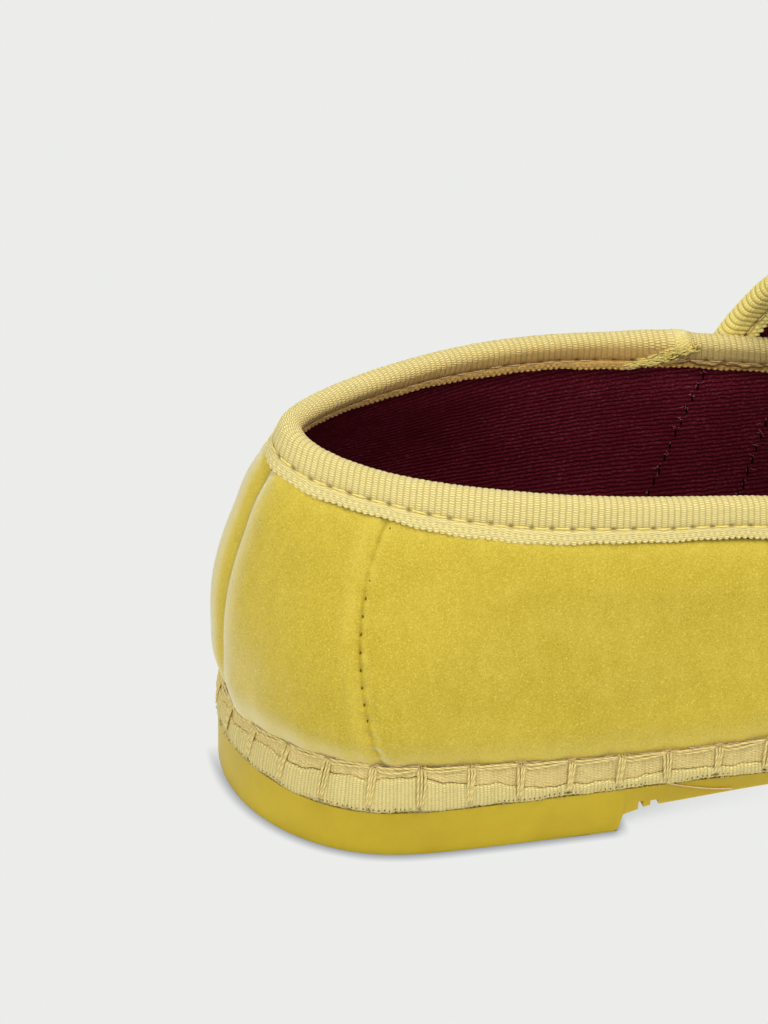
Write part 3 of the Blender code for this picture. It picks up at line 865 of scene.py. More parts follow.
class Effects:
    """Shader groups that several finishes share."""

    def __init__(self) -> None:
        """Build the groups once."""
        self.patches = self.make_patches()
        self.fuzz = self.make_fuzz()
        self.ribs = self.make_ribs()

    @staticmethod
    def make_patches() -> bpy.types.NodeTree:
        """Large soft areas, light and dark.

        Returns:
            The group.
        """
        bench, given, result = new_group("soft_patches", [("Scale", 40.0), ("Low", 0.35),
                                                          ("High", 0.65)], ["Mask"])
        place = bench.space()
        large = bench.noise(place, given.outputs["Scale"], 2.0, 0.55)
        small = bench.noise(place, bench.math("MULTIPLY", given.outputs["Scale"], 3.7), 3.0, 0.6)
        both = bench.total((large, 0.68), (small, 0.32))
        spread = bench.node("MapRange", {0: both})
        bench.tree.links.new(given.outputs["Low"], spread.inputs[1])
        bench.tree.links.new(given.outputs["High"], spread.inputs[2])
        bench.tree.links.new(spread.outputs[0], result.inputs["Mask"])
        return bench.tree

    @staticmethod
    def make_fuzz() -> bpy.types.NodeTree:
        """Fine grain of fibre ends.

        Returns:
            The group.
        """
        bench, given, result = new_group("fibre_fuzz", [("Scale", 2500.0)], ["Mask"])
        place = bench.space()
        coarse = bench.noise(place, given.outputs["Scale"], 3.0, 0.65)
        fine = bench.noise(place, bench.math("MULTIPLY", given.outputs["Scale"], 2.6), 2.0, 0.6)
        both = bench.total((coarse, 0.6), (fine, 0.4))
        bench.tree.links.new(bench.span(both, 0.3, 0.7), result.inputs["Mask"])
        return bench.tree

    @staticmethod
    def make_ribs() -> bpy.types.NodeTree:
        """Ribs across a tape and the threads that run over them along it.

        Returns:
            The group.
        """
        bench, given, result = new_group("tape_ribs", [("Pitch", 0.00105), ("Thread", 0.00033)],
                                         ["Rib", "Thread"])
        along, across = bench.weave()
        phase = bench.math("DIVIDE", along, given.outputs["Pitch"])
        turn = bench.math("MULTIPLY", phase, math.pi)
        rib = bench.math("ABSOLUTE", bench.math("COSINE", turn))
        odd = bench.math("FLOOR", bench.math("ADD", phase, 0.5))
        wander = bench.noise(bench.space(), 900.0, 1.0)
        row = bench.math("DIVIDE", across, given.outputs["Thread"])
        row = bench.math("ADD", row, bench.math("MULTIPLY", odd, 0.5))
        row = bench.math("ADD", row, bench.math("MULTIPLY", wander, 0.9))
        thread = bench.math("ABSOLUTE", bench.math("COSINE", bench.math("MULTIPLY", row, math.pi)))
        bench.tree.links.new(rib, result.inputs["Rib"])
        bench.tree.links.new(thread, result.inputs["Thread"])
        return bench.tree


def new_material(name: str) -> tuple[bpy.types.Material, Bench, bpy.types.Node]:
    """Start a material.

    Args:
        name: name of the material.

    Returns:
        The material, its bench and its Principled shader.
    """
    material = bpy.data.materials.new(name)
    material.use_nodes = True
    bench = Bench(material.node_tree)
    return material, bench, material.node_tree.nodes["Principled BSDF"]


def rgba(colour: Colour) -> tuple[float, float, float, float]:
    """Colour with full alpha."""
    return (*colour, 1.0)


def settle(shader: bpy.types.Node, values: dict[str, object]) -> None:
    """Set a shader's own sockets."""
    for name, value in values.items():
        shader.inputs[name].default_value = value


def dress(bench: Bench, shader: bpy.types.Node, colour: object, height: object, lift: float,
          strength: float = 1.0) -> None:
    """Feed a colour and a relief into a shader.

    Args:
        bench: the material's bench.
        shader: its Principled shader.
        colour: colour socket.
        height: socket of the relief, from 0 to 1.
        lift: height of the relief in metres.
        strength: share of the relief that shows.
    """
    relief = bench.node("Bump", {"Height": height, "Distance": lift, "Strength": strength})
    bench.tree.links.new(colour, shader.inputs["Base Color"])
    bench.tree.links.new(relief.outputs[0], shader.inputs["Normal"])


@dataclass(frozen=True)
class VelvetFinish:
    """Cotton velvet with a short, brushed pile; painted shade, highlight, glints and sheen."""

    deep: Colour = (0.432, 0.307, 0.010)
    light: Colour = (0.695, 0.540, 0.078)
    # Colour of the painted shade in the seam creases and the back seam's valley.
    hollow_shade: Colour = (0.340, 0.225, 0.003)
    # Pale colour of the painted sheen towards grazing angles.
    painted_sheen: Colour = (0.900, 0.800, 0.420)

    def build(self, effects: Effects) -> bpy.types.Material:
        """Make the material.

        Args:
            effects: shared shader groups.

        Returns:
            The material.
        """
        material, bench, shader = new_material("velvet")
        patch = bench.group(effects.patches, {"Scale": 46.0, "Low": 0.30, "High": 0.70})
        grain = bench.group(effects.fuzz, {"Scale": 1500.0})
        speck = bench.span(bench.noise(bench.space(), 3900.0, 2.0), 0.32, 0.68)
        # Sparse pale flecks: painted glints on the pile.
        painted_glint = bench.span(bench.noise(bench.space(), 3300.0, 0.0), 0.66, 0.78)
        brushed = bench.noise(bench.stretched(bench.space(), (420.0, 420.0, 160.0)), 1.0, 4.0,
                              0.65)
        # The marked bands along the welt, collar and seams add painted highlight to the tone.
        tone = bench.total((patch.outputs[0], 0.24), (grain.outputs[0], 0.26), (speck, 0.40),
                           (painted_glint, 0.60), (bench.span(brushed, 0.35, 0.65, 0.0, 0.16), 1),
                           (bench.mark("painted_highlight"), 0.45))
        colour = bench.mix(tone, rgba(self.deep), rgba(self.light))
        # Painted shade in the seam creases.
        colour = bench.mix(bench.mark("hollow_shade"), colour, rgba(self.hollow_shade))
        # Paler colour where the surface turns away from the view: painted sheen.
        facing = bench.node("LayerWeight", {"Blend": 0.5}).outputs["Facing"]
        colour = bench.mix(bench.span(facing, 0.40, 0.98, 0.0, 0.58), colour, rgba(self.painted_sheen))
        dress(bench, shader, colour, bench.total((speck, 0.8), (brushed, 0.5)), 0.00009, 0.9)
        settle(shader, {"Roughness": 0.95, "Specular IOR Level": 0.03, "Sheen Weight": 1.0,
                        "Sheen Roughness": 0.36, "Sheen Tint": (1.0, 0.99, 0.90, 1.0)})
        return material


@dataclass(frozen=True)
class TapeFinish:
    """Ribbed cotton tape, with the light and shade of its ribs painted into its colour."""

    name: str = "ribbed_tape"
    # Lit crest and shaded groove colours: the light and shade of the ribs, thread rows and strands
    # are painted.
    lit_crest: Colour = (1.000, 0.850, 0.345)
    groove: Colour = (0.560, 0.420, 0.115)
    pitch: float = 0.00105
    thread: float = 0.00034
    cross: float = 0.68
    fine: float = 0.0

    def build(self, effects: Effects) -> bpy.types.Material:
        """Make the material.

        Args:
            effects: shared shader groups.

        Returns:
            The material.
        """
        material, bench, shader = new_material(self.name)
        ribs = bench.group(effects.ribs, {"Pitch": self.pitch, "Thread": self.thread})
        grain = bench.group(effects.fuzz, {"Scale": 3200.0})
        patch = bench.group(effects.patches, {"Scale": 120.0, "Low": 0.3, "High": 0.7})
        lit_crest = bench.math("MAXIMUM", bench.span(ribs.outputs["Rib"], -0.15, 0.65),
                           bench.mark("bright"))
        thread = bench.math("MULTIPLY", bench.span(ribs.outputs["Thread"], 0.30, 0.80), lit_crest)
        strands = bench.group(effects.ribs, {"Pitch": 0.27 * self.pitch, "Thread": self.thread})
        strands = bench.math("SUBTRACT", 1.0, strands.outputs["Rib"])
        tone = bench.total((lit_crest, 0.92 - self.cross), (thread, self.cross),
                           (grain.outputs[0], 0.20), (bench.mark("bright"), 0.34),
                           (patch.outputs[0], -0.08), (strands, -self.fine))
        colour = bench.mix(tone, rgba(self.groove), rgba(self.lit_crest))
        # Painted shade in the stitch pits, the gaps at the edges and under the lapped end.
        colour = bench.mix(bench.mark("hollow_shade"), colour, rgba((0.300, 0.205, 0.040)))
        # Redder inner face: painted light bounced from the dark red lining.
        lining_bounce = bench.node("Mix", {0: bench.mark("inner"), 6: colour,
                                  7: rgba((0.94, 0.68, 0.44))}, data_type="RGBA",
                          blend_type="MULTIPLY")
        height = bench.total((thread, 1.2 * self.cross), (grain.outputs[0], 0.25))
        dress(bench, shader, lining_bounce.outputs[2], height, 0.00016)
        settle(shader, {"Roughness": 0.66, "Specular IOR Level": 0.18, "Sheen Weight": 0.15})
        return material


@dataclass(frozen=True)
class WeltFinish:
    """Fine ribbed tape of the welt, with a fluffy lower edge."""

    light: Colour = (0.900, 0.760, 0.320)
    shade: Colour = (0.470, 0.350, 0.095)
    tan: Colour = (0.930, 0.730, 0.300)
    # Colour of the painted shade in the holes, the stitch pits and the fold line.
    hole: Colour = (0.075, 0.045, 0.010)
    pitch: float = 0.00062
    thread: float = 0.00031
    dot_pitch: float = 0.00086

    def build(self, effects: Effects) -> bpy.types.Material:
        """Make the material.

        Args:
            effects: shared shader groups.

        Returns:
            The material.
        """
        material, bench, shader = new_material("welt_tape")
        ribs = bench.group(effects.ribs, {"Pitch": self.pitch, "Thread": self.thread})
        grain = bench.group(effects.fuzz, {"Scale": 2400.0})
        rib = bench.span(ribs.outputs["Rib"], 0.1, 0.8)
        thread = bench.span(ribs.outputs["Thread"], 0.2, 0.8)
        tone = bench.total((rib, 0.30), (thread, 0.42), (grain.outputs[0], 0.42))
        uv = bench.node("UVMap", None, uv_map=WEAVE).outputs[0]
        lines = bench.node("SeparateXYZ", {0: bench.stretched(uv, (1.0, 1.0, 1.0), 0.42)})
        wander = bench.noise(bench.space(), 1400.0, 2.0)
        row = bench.math("ADD", bench.math("DIVIDE", lines.outputs[1], 0.00046), wander)
        upper_tone = bench.total((bench.waves(row), 0.55), (grain.outputs[0], 0.75))
        colour = bench.mix(tone, rgba(self.shade), rgba(self.light))
        upper = bench.mix(upper_tone, rgba(self.shade), rgba(self.tan))
        colour = bench.mix(bench.math("MULTIPLY", bench.mark("recess"), 0.90), colour, upper)
        # Painted shade in the small holes, the stitch pits and along the fold.
        hole_and_crease_shade = bench.math("MAXIMUM", self.dots(bench), bench.mark("hollow_shade"))
        colour = bench.mix(hole_and_crease_shade, colour, rgba(self.hole))
        dress(bench, shader, colour, bench.total((rib, 0.4), (thread, 0.6), (hole_and_crease_shade, -1.0)), 0.00016)
        settle(shader, {"Roughness": 0.80, "Specular IOR Level": 0.12})
        return material

    def dots(self, bench: Bench) -> bpy.types.NodeSocket:
        """Mask of the painted shade in the small holes along the lower edge, in some stretches only.

        Args:
            bench: the material's bench.

        Returns:
            The mask.
        """
        along, across = bench.weave()
        wander = bench.noise(bench.space(), 420.0, 1.0)
        phase = bench.math("ADD", bench.math("DIVIDE", along, self.dot_pitch), wander)
        side = bench.math("ABSOLUTE", bench.math("SUBTRACT", bench.math("FRACT", phase), 0.5))
        side = bench.math("DIVIDE", bench.math("MULTIPLY", side, self.dot_pitch), 0.00013)
        rise = bench.math("DIVIDE", bench.math("SUBTRACT", across, 0.00050), 0.00021)
        away = bench.math("ADD", bench.math("MULTIPLY", side, side),
                          bench.math("MULTIPLY", rise, rise))
        some = bench.span(bench.noise(bench.space(), 95.0, 2.0), 0.42, 0.50)
        return bench.math("MULTIPLY", bench.span(away, 0.5, 1.1, 0.9, 0.0), some)


@dataclass(frozen=True)
class ThreadFinish:
    """Twisted cotton thread or yarn."""

    name: str
    light: Colour
    shade: Colour
    lay: float = 0.0011
    sheen: float = 0.2

    def build(self, effects: Effects) -> bpy.types.Material:
        """Make the material.

        Args:
            effects: shared shader groups.

        Returns:
            The material.
        """
        material, bench, shader = new_material(self.name)
        along, around = bench.weave()
        twist = bench.waves(bench.total((bench.math("DIVIDE", along, self.lay), 1), (around, 2.0)))
        grain = bench.group(effects.fuzz, {"Scale": 4200.0})
        tone = bench.total((twist, 0.65), (grain.outputs[0], 0.35))
        colour = bench.mix(tone, rgba(self.shade), rgba(self.light))
        dress(bench, shader, colour, tone, 0.00008)
        settle(shader, {"Roughness": 0.72, "Specular IOR Level": self.sheen,
                        "Sheen Weight": self.sheen})
        return material


@dataclass(frozen=True)
class LiningFinish:
    """Dark twill lining with light lint."""

    base: Colour = (0.0480, 0.0018, 0.0052)
    rib: Colour = (0.1850, 0.0130, 0.0290)
    lint: Colour = (0.340, 0.085, 0.120)
    # Colour of the painted shade where a hollow is marked.
    seam: Colour = (0.008, 0.001, 0.002)
    pitch: float = 0.00088

    def build(self, effects: Effects) -> bpy.types.Material:
        """Make the material.

        Args:
            effects: shared shader groups.

        Returns:
            The material.
        """
        material, bench, shader = new_material("lining")
        uv = bench.node("UVMap", None, uv_map=WEAVE).outputs[0]
        turned = bench.stretched(uv, (1.0, 1.0, 1.0), math.radians(-9.0))
        split = bench.node("SeparateXYZ", {0: turned})
        wander = bench.math("MULTIPLY", bench.noise(bench.space(), 500.0, 2.0), 0.9)
        ribs = bench.waves(bench.math("ADD", bench.math("DIVIDE", split.outputs[1], self.pitch),
                                      wander))
        grain = bench.group(effects.fuzz, {"Scale": 2200.0})
        patch = bench.group(effects.patches, {"Scale": 60.0, "Low": 0.3, "High": 0.7})
        tone = bench.math("MULTIPLY", ribs, bench.span(patch.outputs[0], 0.0, 1.0, 0.45, 1.0))
        colour = bench.mix(tone, rgba(self.base), rgba(self.rib))
        fleck = bench.noise(bench.stretched(bench.space(), (1900.0, 1300.0, 4200.0)), 1.0, 2.0)
        fleck = bench.math("MULTIPLY", bench.span(fleck, 0.50, 0.72), ribs)
        fleck = bench.math("MULTIPLY", fleck, bench.span(patch.outputs[0], 0.2, 0.9, 0.25, 0.8))
        colour = bench.mix(fleck, colour, rgba(self.lint))
        # Painted shade where a hollow is marked.
        colour = bench.mix(bench.mark("hollow_shade"), colour, rgba(self.seam))
        dress(bench, shader, colour, bench.total((ribs, 0.7), (grain.outputs[0], 0.3)), 0.00014)
        settle(shader, {"Roughness": 0.95, "Specular IOR Level": 0.04})
        return material


@dataclass(frozen=True)
class RubberFinish:
    """Clear-toned crepe rubber, slightly milky."""

    deep: Colour = (0.480, 0.335, 0.006)
    light: Colour = (0.600, 0.440, 0.020)

    def build(self, effects: Effects) -> bpy.types.Material:
        """Make the material.

        Args:
            effects: shared shader groups.

        Returns:
            The material.
        """
        material, bench, shader = new_material("rubber")
        patch = bench.group(effects.patches, {"Scale": 55.0, "Low": 0.35, "High": 0.65})
        grain = bench.group(effects.fuzz, {"Scale": 900.0})
        tone = bench.total((patch.outputs[0], 0.85), (grain.outputs[0], 0.12))
        colour = bench.mix(tone, rgba(self.deep), rgba(self.light))
        dress(bench, shader, colour, grain.outputs[0], 0.00003, 0.5)
        rough = bench.span(patch.outputs[0], 0.0, 1.0, 0.36, 0.50)
        bench.tree.links.new(rough, shader.inputs["Roughness"])
        settle(shader, {"Specular IOR Level": 0.26, "Subsurface Weight": 0.30,
                        "Subsurface Radius": (1.0, 0.62, 0.12), "Subsurface Scale": 0.0025})
        return material


@dataclass(frozen=True)
class CoreFinish:
    """Coarse twisted textile of the midsole."""

    light: Colour = (0.640, 0.520, 0.230)
    shade: Colour = (0.330, 0.240, 0.080)

    def build(self, effects: Effects) -> bpy.types.Material:
        """Make the material.

        Args:
            effects: shared shader groups.

        Returns:
            The material.
        """
        material, bench, shader = new_material("midsole_textile")
        wave = bench.node("TexWave", {"Vector": bench.space(), "Scale": 260.0, "Distortion": 3.0,
                                      "Detail": 2.0}, bands_direction="Z")
        grain = bench.group(effects.fuzz, {"Scale": 1800.0})
        tone = bench.total((wave.outputs["Fac"], 0.6), (grain.outputs[0], 0.4))
        colour = bench.mix(tone, rgba(self.shade), rgba(self.light))
        dress(bench, shader, colour, tone, 0.00025)
        settle(shader, {"Roughness": 0.9})
        return material


class Finishes:
    """All materials of the shoe."""

    def __init__(self, effects: Effects) -> None:
        """Build each material once.

        Args:
            effects: shared shader groups.
        """
        self.velvet = VelvetFinish().build(effects)
        self.tape = TapeFinish().build(effects)
        self.strap_tape = TapeFinish("strap_tape", (1.000, 0.850, 0.270), (0.460, 0.330, 0.040),
                                     0.00102, 0.00045, 0.22, 0.34).build(effects)
        self.welt = WeltFinish().build(effects)
        self.yarn = ThreadFinish("yarn", (0.880, 0.730, 0.290),
                                 (0.430, 0.310, 0.070), 0.0014).build(effects)
        self.tuft = ThreadFinish("tuft", (1.000, 0.860, 0.260),
                                 (0.930, 0.700, 0.160)).build(effects)
        self.lint = ThreadFinish("lint", (0.500, 0.110, 0.170),
                                 (0.260, 0.040, 0.070)).build(effects)
        self.thread = ThreadFinish("thread", (0.890, 0.740, 0.370), (0.620, 0.450, 0.190),
                                   0.0007).build(effects)
        self.fibre = ThreadFinish("fibre", (0.800, 0.560, 0.300),
                                  (0.560, 0.350, 0.160)).build(effects)
        self.lining = LiningFinish().build(effects)
        # Near-black thread: painted shadow along the lining's seams.
        self.seam = ThreadFinish("lining_seam_shadow", (0.014, 0.001, 0.003), (0.006, 0.001, 0.002),
                                 0.0006, 0.0).build(effects)
        # Dark thread: partly the seam's thread, partly painted shade of its needle holes.
        self.shaded_sunken_thread = ThreadFinish("sunken_thread_shade", (0.230, 0.140, 0.008),
                                        (0.090, 0.052, 0.003), 0.0006, 0.0).build(effects)
        self.rubber = RubberFinish().build(effects)
        self.core = CoreFinish().build(effects)


@dataclass
class Seam:
    """A sewn line down the wall: its place along the shoe at the collar, half way and the welt."""

    side: Side
    top: float
    middle: float
    foot: float
    valley: float = 0.0004
    width: float = 0.0010
    ridge: float = 0.00025

    def x(self, share: Array) -> Array:
        """Place along the shoe at a share of the way down."""
        return (self.top * (1 - share) * (1 - 2 * share) + 4 * self.middle * share * (1 - share)
                + self.foot * share * (2 * share - 1))


def seam_distance(grid: Array, share: Array, seam: Seam) -> Array:
    """Signed distance of each point of a wall from a seam, along its own row.

    Args:
        grid: points of the wall, one row for each place round the shoe.
        share: how far down each column of the grid lies, from 0 to 1.
        seam: the seam.

    Returns:
        Distances, below 0 behind the seam.
    """
    away = np.full(grid.shape[:2], 1.0)
    mask = grid[:, :, 1] * seam.side.value > 0
    for j in range(grid.shape[1]):
        rows = np.nonzero(mask[:, j] & (grid[:, j, 0] < 0.15))[0]
        order = rows[np.argsort(grid[rows, j, 0])]
        line = grid[order, j]
        place = float(seam.x(share[j]))
        gap = line - at_places(place, line[:, 0], line)
        away[order, j] = np.linalg.norm(gap, axis=1) * np.sign(gap[:, 0])
    return away


# Height of the welt's fold as a share of the tape, by distance along the edge from the back.
CREASE = (
    (0.000, 0.62), (0.012, 0.66), (0.026, 0.67), (0.033, 0.74), (0.040, 0.78), (0.045, 0.75),
    (0.049, 0.67), (0.053, 0.56), (0.057, 0.48), (0.062, 0.37), (0.066, 0.33), (0.071, 0.28),
    (0.079, 0.32), (0.084, 0.38), (0.095, 0.36), (0.103, 0.28), (0.120, 0.35), (0.150, 0.52),
    (0.180, 0.62), (0.210, 0.45), (0.240, 0.35), (0.270, 0.50), (0.300, 0.62), (0.330, 0.42),
    (0.360, 0.36), (0.390, 0.52), (0.420, 0.62), (0.450, 0.50), (0.480, 0.38), (0.510, 0.44),
    (0.540, 0.60), (0.570, 0.68),
)


@dataclass
class Welt:
    """Woven tape round the midsole with yarn stitches."""

    last: Last
    thickness: float = 0.0004
    low: float = 0.00040
    station: float = 0.00034
    pitch: float = 0.0083
    first: float = 0.0021
    strand: float = 0.000215
    hole: float = 0.00095
    below: Sequence[float] = (0, 0.07, 0.15, 0.25, 0.37, 0.50, 0.62, 0.74, 0.84, 0.92, 0.965, 0.988)
    above: Sequence[float] = (0, 0.012, 0.035, 0.08, 0.15, 0.26, 0.39, 0.53, 0.67, 0.80, 0.91, 1)
    seed: int = 11

    def length(self) -> float:
        """Length of the sole's edge."""
        return float(self.last.edge_table[1][-1])

    def u_at(self, place: Array) -> Array:
        """Places u at distances along the sole's edge."""
        return self.last.edge_places(np.mod(place, self.length()))

    def stitch_places(self) -> Array:
        """Distances of the stitches along the sole's edge."""
        count = int(round(self.length() / self.pitch))
        return self.first + np.arange(count) * self.length() / count

    def stitch_gap(self, place: Array) -> Array:
        """Signed distance along the edge to the nearest stitch."""
        step = self.length() / len(self.stitch_places())
        return np.mod(place - self.first + 0.5 * step, step) - 0.5 * step

    def tall(self, place: Array) -> Array:
        """Height of the tape's top at distances along the sole's edge."""
        return self.last.welt_shape(self.u_at(place))[0]

    def face(self, place: Array, height: Array, out: Array) -> Array:
        """Points on the tape's face.

        Args:
            place: distances along the sole's edge.
            height: heights over the midsole's foot, one row for each place.
            out: how far each point stands out from the tape's plain face.

        Returns:
            A grid of points.
        """
        u = self.u_at(place)
        edge = self.last.edge(u)
        outward = self.last.outward(u)
        tall, lean = self.last.welt_shape(u)
        shift = out - lean[:, None] * (height / tall[:, None]) ** 1.4
        flat = edge[:, None, :] + outward[:, None, :] * shift[:, :, None]
        seat = self.last.seat(flat[:, :, 0])
        return np.dstack((flat, seat + height))

    def crease_share(self, place: Array) -> Array:
        """Height of the fold in the tape, as a share of the tape.

        Args:
            place: distances along the sole's edge.

        Returns:
            Shares from 0 to 1.
        """
        table = np.array(CREASE)
        share = np.interp(place, table[:, 0], table[:, 1], period=self.length())
        wander = 0.018 * np.sin(2 * np.pi * place / 0.0061) + 0.008 * np.sin(
            2 * np.pi * place / 0.0027 + 1.0) + 0.035 * np.sin(2 * np.pi * place / 0.0147 + 2.1)
        return share + wander

    def tape(self) -> Shape:
        """The woven tape, folded along a line that wanders from stitch to stitch.

        Returns:
            The shape.
        """
        count = int(round(self.length() / self.station))
        place = np.arange(count) * self.length() / count
        tall = self.tall(place)[:, None]
        rng = np.random.default_rng(self.seed)
        tooth = 0.00009 * np.cos(2 * np.pi * place / 0.00062) + rng.normal(0.0, 0.00005, count)
        tooth += 0.00012 * np.sin(2 * np.pi * place / 0.0129)
        low = self.low + tooth[:, None]
        crease = low + (tall - low) * self.crease_share(place)[:, None]
        height = np.hstack((low + (crease - low) * np.array(self.below)[None, :],
                            crease + (tall - crease) * np.array(self.above)[None, :]))
        rows = height.shape[1]
        fold = len(self.below)
        over = height - crease
        out = 0.00024 + 0.00022 * ease(height - low, 0.0, 0.0012) * (1 - ease(over, -0.0004, 0.0))
        out = out - 0.00028 * bell(over, 0.00016) + 0.00016 * ease(height, tall - 0.0010, tall)
        near = bell(self.stitch_gap(place), 0.0010)[:, None]
        out = out - 0.00016 * near * ease(height - low, 0.0004, 0.0016)
        out = out + 0.00010 * np.sin(np.pi * self.stitch_gap(place) / self.pitch)[:, None]
        ripple = np.sin(2 * np.pi * place / 0.0043 + 0.6) * np.sin(2 * np.pi * place / 0.0119)
        out = out + 0.00014 * ripple[:, None] * np.sin(np.pi * height / tall)
        deep = rng.uniform(0.15, 1.0, 200)[
            np.floor((place - self.first) / self.pitch + 0.5).astype(int) % 200]
        # The pits at the stitch feet are sunk and also darkened with painted shade.
        pit = deep[:, None] * bell(self.stitch_gap(place), 0.00036)[:, None] * bell(
            height - low - 0.00045, 0.00030)
        out = out - 0.0004 * pit
        faces = self.face(place, height, out)
        back_heights = np.hstack((tall - 0.0001, low + 0.0001))
        back = self.face(place, back_heights, np.full((count, 2), -self.thickness))
        points = np.concatenate((faces, back), axis=1)
        across = np.concatenate((height - low, tall + 0.001, tall + 0.008), axis=1)
        # Painted shade line along the fold, fading in and out.
        fading = 0.62 + 0.38 * np.sin(2 * np.pi * place / 0.0217 + 1.0)
        line = np.zeros((count, rows))
        line[:, fold] = 0.95 * fading
        line[:, fold + 1] = 0.60 * fading
        line[:, fold - 1] = 0.30 * fading
        upper = ease(over, 0.0, 0.0002) * (1 - 0.6 * ease(height, tall - 0.0010, tall))
        blank = np.zeros((count, 2))
        marks = {"hollow_shade": np.hstack((np.clip(1.35 * pit + line, 0, 1), blank)),
                 "recess": np.hstack((upper, blank))}
        return grid_shape(points, place, across, True, self.length(), marks)

    def strand_set(self, run: list, height: list, out: list, lift: float) -> tuple[Array, Array]:
        """Paths and outward directions of yarns given by their places, heights and lifts.

        Args:
            run: distances along the sole's edge, for each yarn.
            height: heights over the midsole's foot.
            out: how far the points stand out.
            lift: upward share of the directions.

        Returns:
            Paths and directions.
        """
        paths, normals = [], []
        for places, heights, outs in zip(run, height, out):
            paths.append(self.face(places, heights[:, None], outs[:, None])[:, 0])
            u = self.u_at(places)
            side = np.column_stack((self.last.outward(u), np.full(len(u), lift)))
            normals.append(unit(side))
        return np.array(paths), np.array(normals)

    def stitches(self) -> Shape:
        """Bundles of yarn over the tape, each from its hole to the tape's top.

        Returns:
            The shape.
        """
        rng = np.random.default_rng(self.seed + 1)
        run, height, out = [], [], []
        rise = np.linspace(0.0, 1.0, 13)
        for place in self.stitch_places():
            slant = rng.normal(0.00050, 0.00022)
            tall = float(self.tall(np.array([place]))[0])
            for number in (-1, 0, 1):
                low = number * 0.00030 + rng.normal(0.0, 0.00005)
                high = number * rng.uniform(0.00042, 0.00066) + slant
                bow = rng.normal(0.0, 0.00009) * np.sin(np.pi * rise)
                run.append(place + low + (high - low) * rise ** 1.2 + bow)
                height.append(self.hole + (tall + 0.00042 - self.hole) * rise)
                arch = 0.00052 * np.sin(np.pi * np.clip(rise * 0.90 + 0.07, 0, 1)) ** 0.4
                out.append(arch + 0.00007 * (number % 2) - 0.0004 * bell(rise, 0.05)
                           - 0.0004 * bell(rise - 1.0, 0.10))
        return tube_shape(*self.strand_set(run, height, out, 0.25), self.strand, 8, 0.8)

    def top_threads(self) -> Shape:
        """Slack yarn along the tape's top, from stitch to stitch.

        Returns:
            The shape.
        """
        rng = np.random.default_rng(self.seed + 2)
        step = self.length() / len(self.stitch_places())
        along = np.linspace(0.0, 1.0, 15)
        run, height, out = [], [], []
        for place in self.stitch_places():
            sag = rng.uniform(0.15, 0.75) * 0.001
            peak = rng.uniform(0.25, 0.65)
            for number in range(2):
                run.append(place + 0.00055 + (step - 0.0004) * along)
                slack = sag * np.sin(np.pi * along ** peak) ** 1.5
                tall = self.tall(run[-1])
                height.append(tall + 0.00036 - number * 0.00034 - slack * (0.35 + 0.65 * number))
                twist = 0.00006 * np.sin(2 * np.pi * (along * 1.3 + number / 2))
                out.append(0.00050 + twist - 0.00035 * bell(along, 0.06)
                           - 0.00035 * bell(along - 1.0, 0.06))
        return tube_shape(*self.strand_set(run, height, out, 0.5), 0.00021, 8)

    def fuzz(self, count: int, top: bool) -> Shape:
        """Short fibres that stand off the tape's lower edge or lie along its top.

        Args:
            count: number of fibres.
            top: True for those along the top.

        Returns:
            The shape.
        """
        rng = np.random.default_rng(self.seed + 3 + int(top))
        start = rng.uniform(0.0, self.length(), count)
        share = np.linspace(0.0, 1.0, 6)
        run, height, out = [], [], []
        tall = self.tall(start)
        for number in range(count):
            bend = rng.normal(0.0, 0.0011 if top else 0.0004)
            run.append(start[number] + bend * share ** 1.5)
            if top:
                height.append(tall[number] + 0.0005 + rng.normal(0.0, 0.00012) + 0.00025
                              * rng.normal() * share)
                out.append(0.00030 + 0.00030 * np.sin(np.pi * share))
            else:
                height.append(self.low + 0.0002 - rng.uniform(0.0002, 0.0007) * share)
                out.append(0.00025 + rng.uniform(0.0, 0.0003) * share)
        radius = 0.00007 if top else 0.00004
        return tube_shape(*self.strand_set(run, height, out, 0.0), radius, 5)

    def build(self, shop: Workshop, finishes: Finishes) -> None:
        """Make the welt's pieces.

        Args:
            shop: puts pieces on the frame.
            finishes: materials of the shoe.
        """
        shop.add("welt_weave", self.tape(), finishes.welt, Slot.TAPE, ["welt_tape"])
        shop.add("welt_stitches", self.stitches(), finishes.yarn, Slot.TAPE)
        shop.add("welt_top_yarn", self.top_threads(), finishes.yarn, Slot.TAPE)
        shop.add("welt_fuzz", self.fuzz(900, False), finishes.yarn, Slot.TAPE)
        shop.add("welt_fringe", self.fuzz(1250, True), finishes.fibre, Slot.TAPE)


# Sewn lines of the lining: side, and place along the shoe at the collar and at the insole.
LINING_SEAMS = (
    (Side.INNER, 0.0920, 0.0772),
    (Side.INNER, 0.1065, 0.0935),
    (Side.OUTER, 0.0920, 0.0772),
    (Side.OUTER, 0.1065, 0.0935),
)


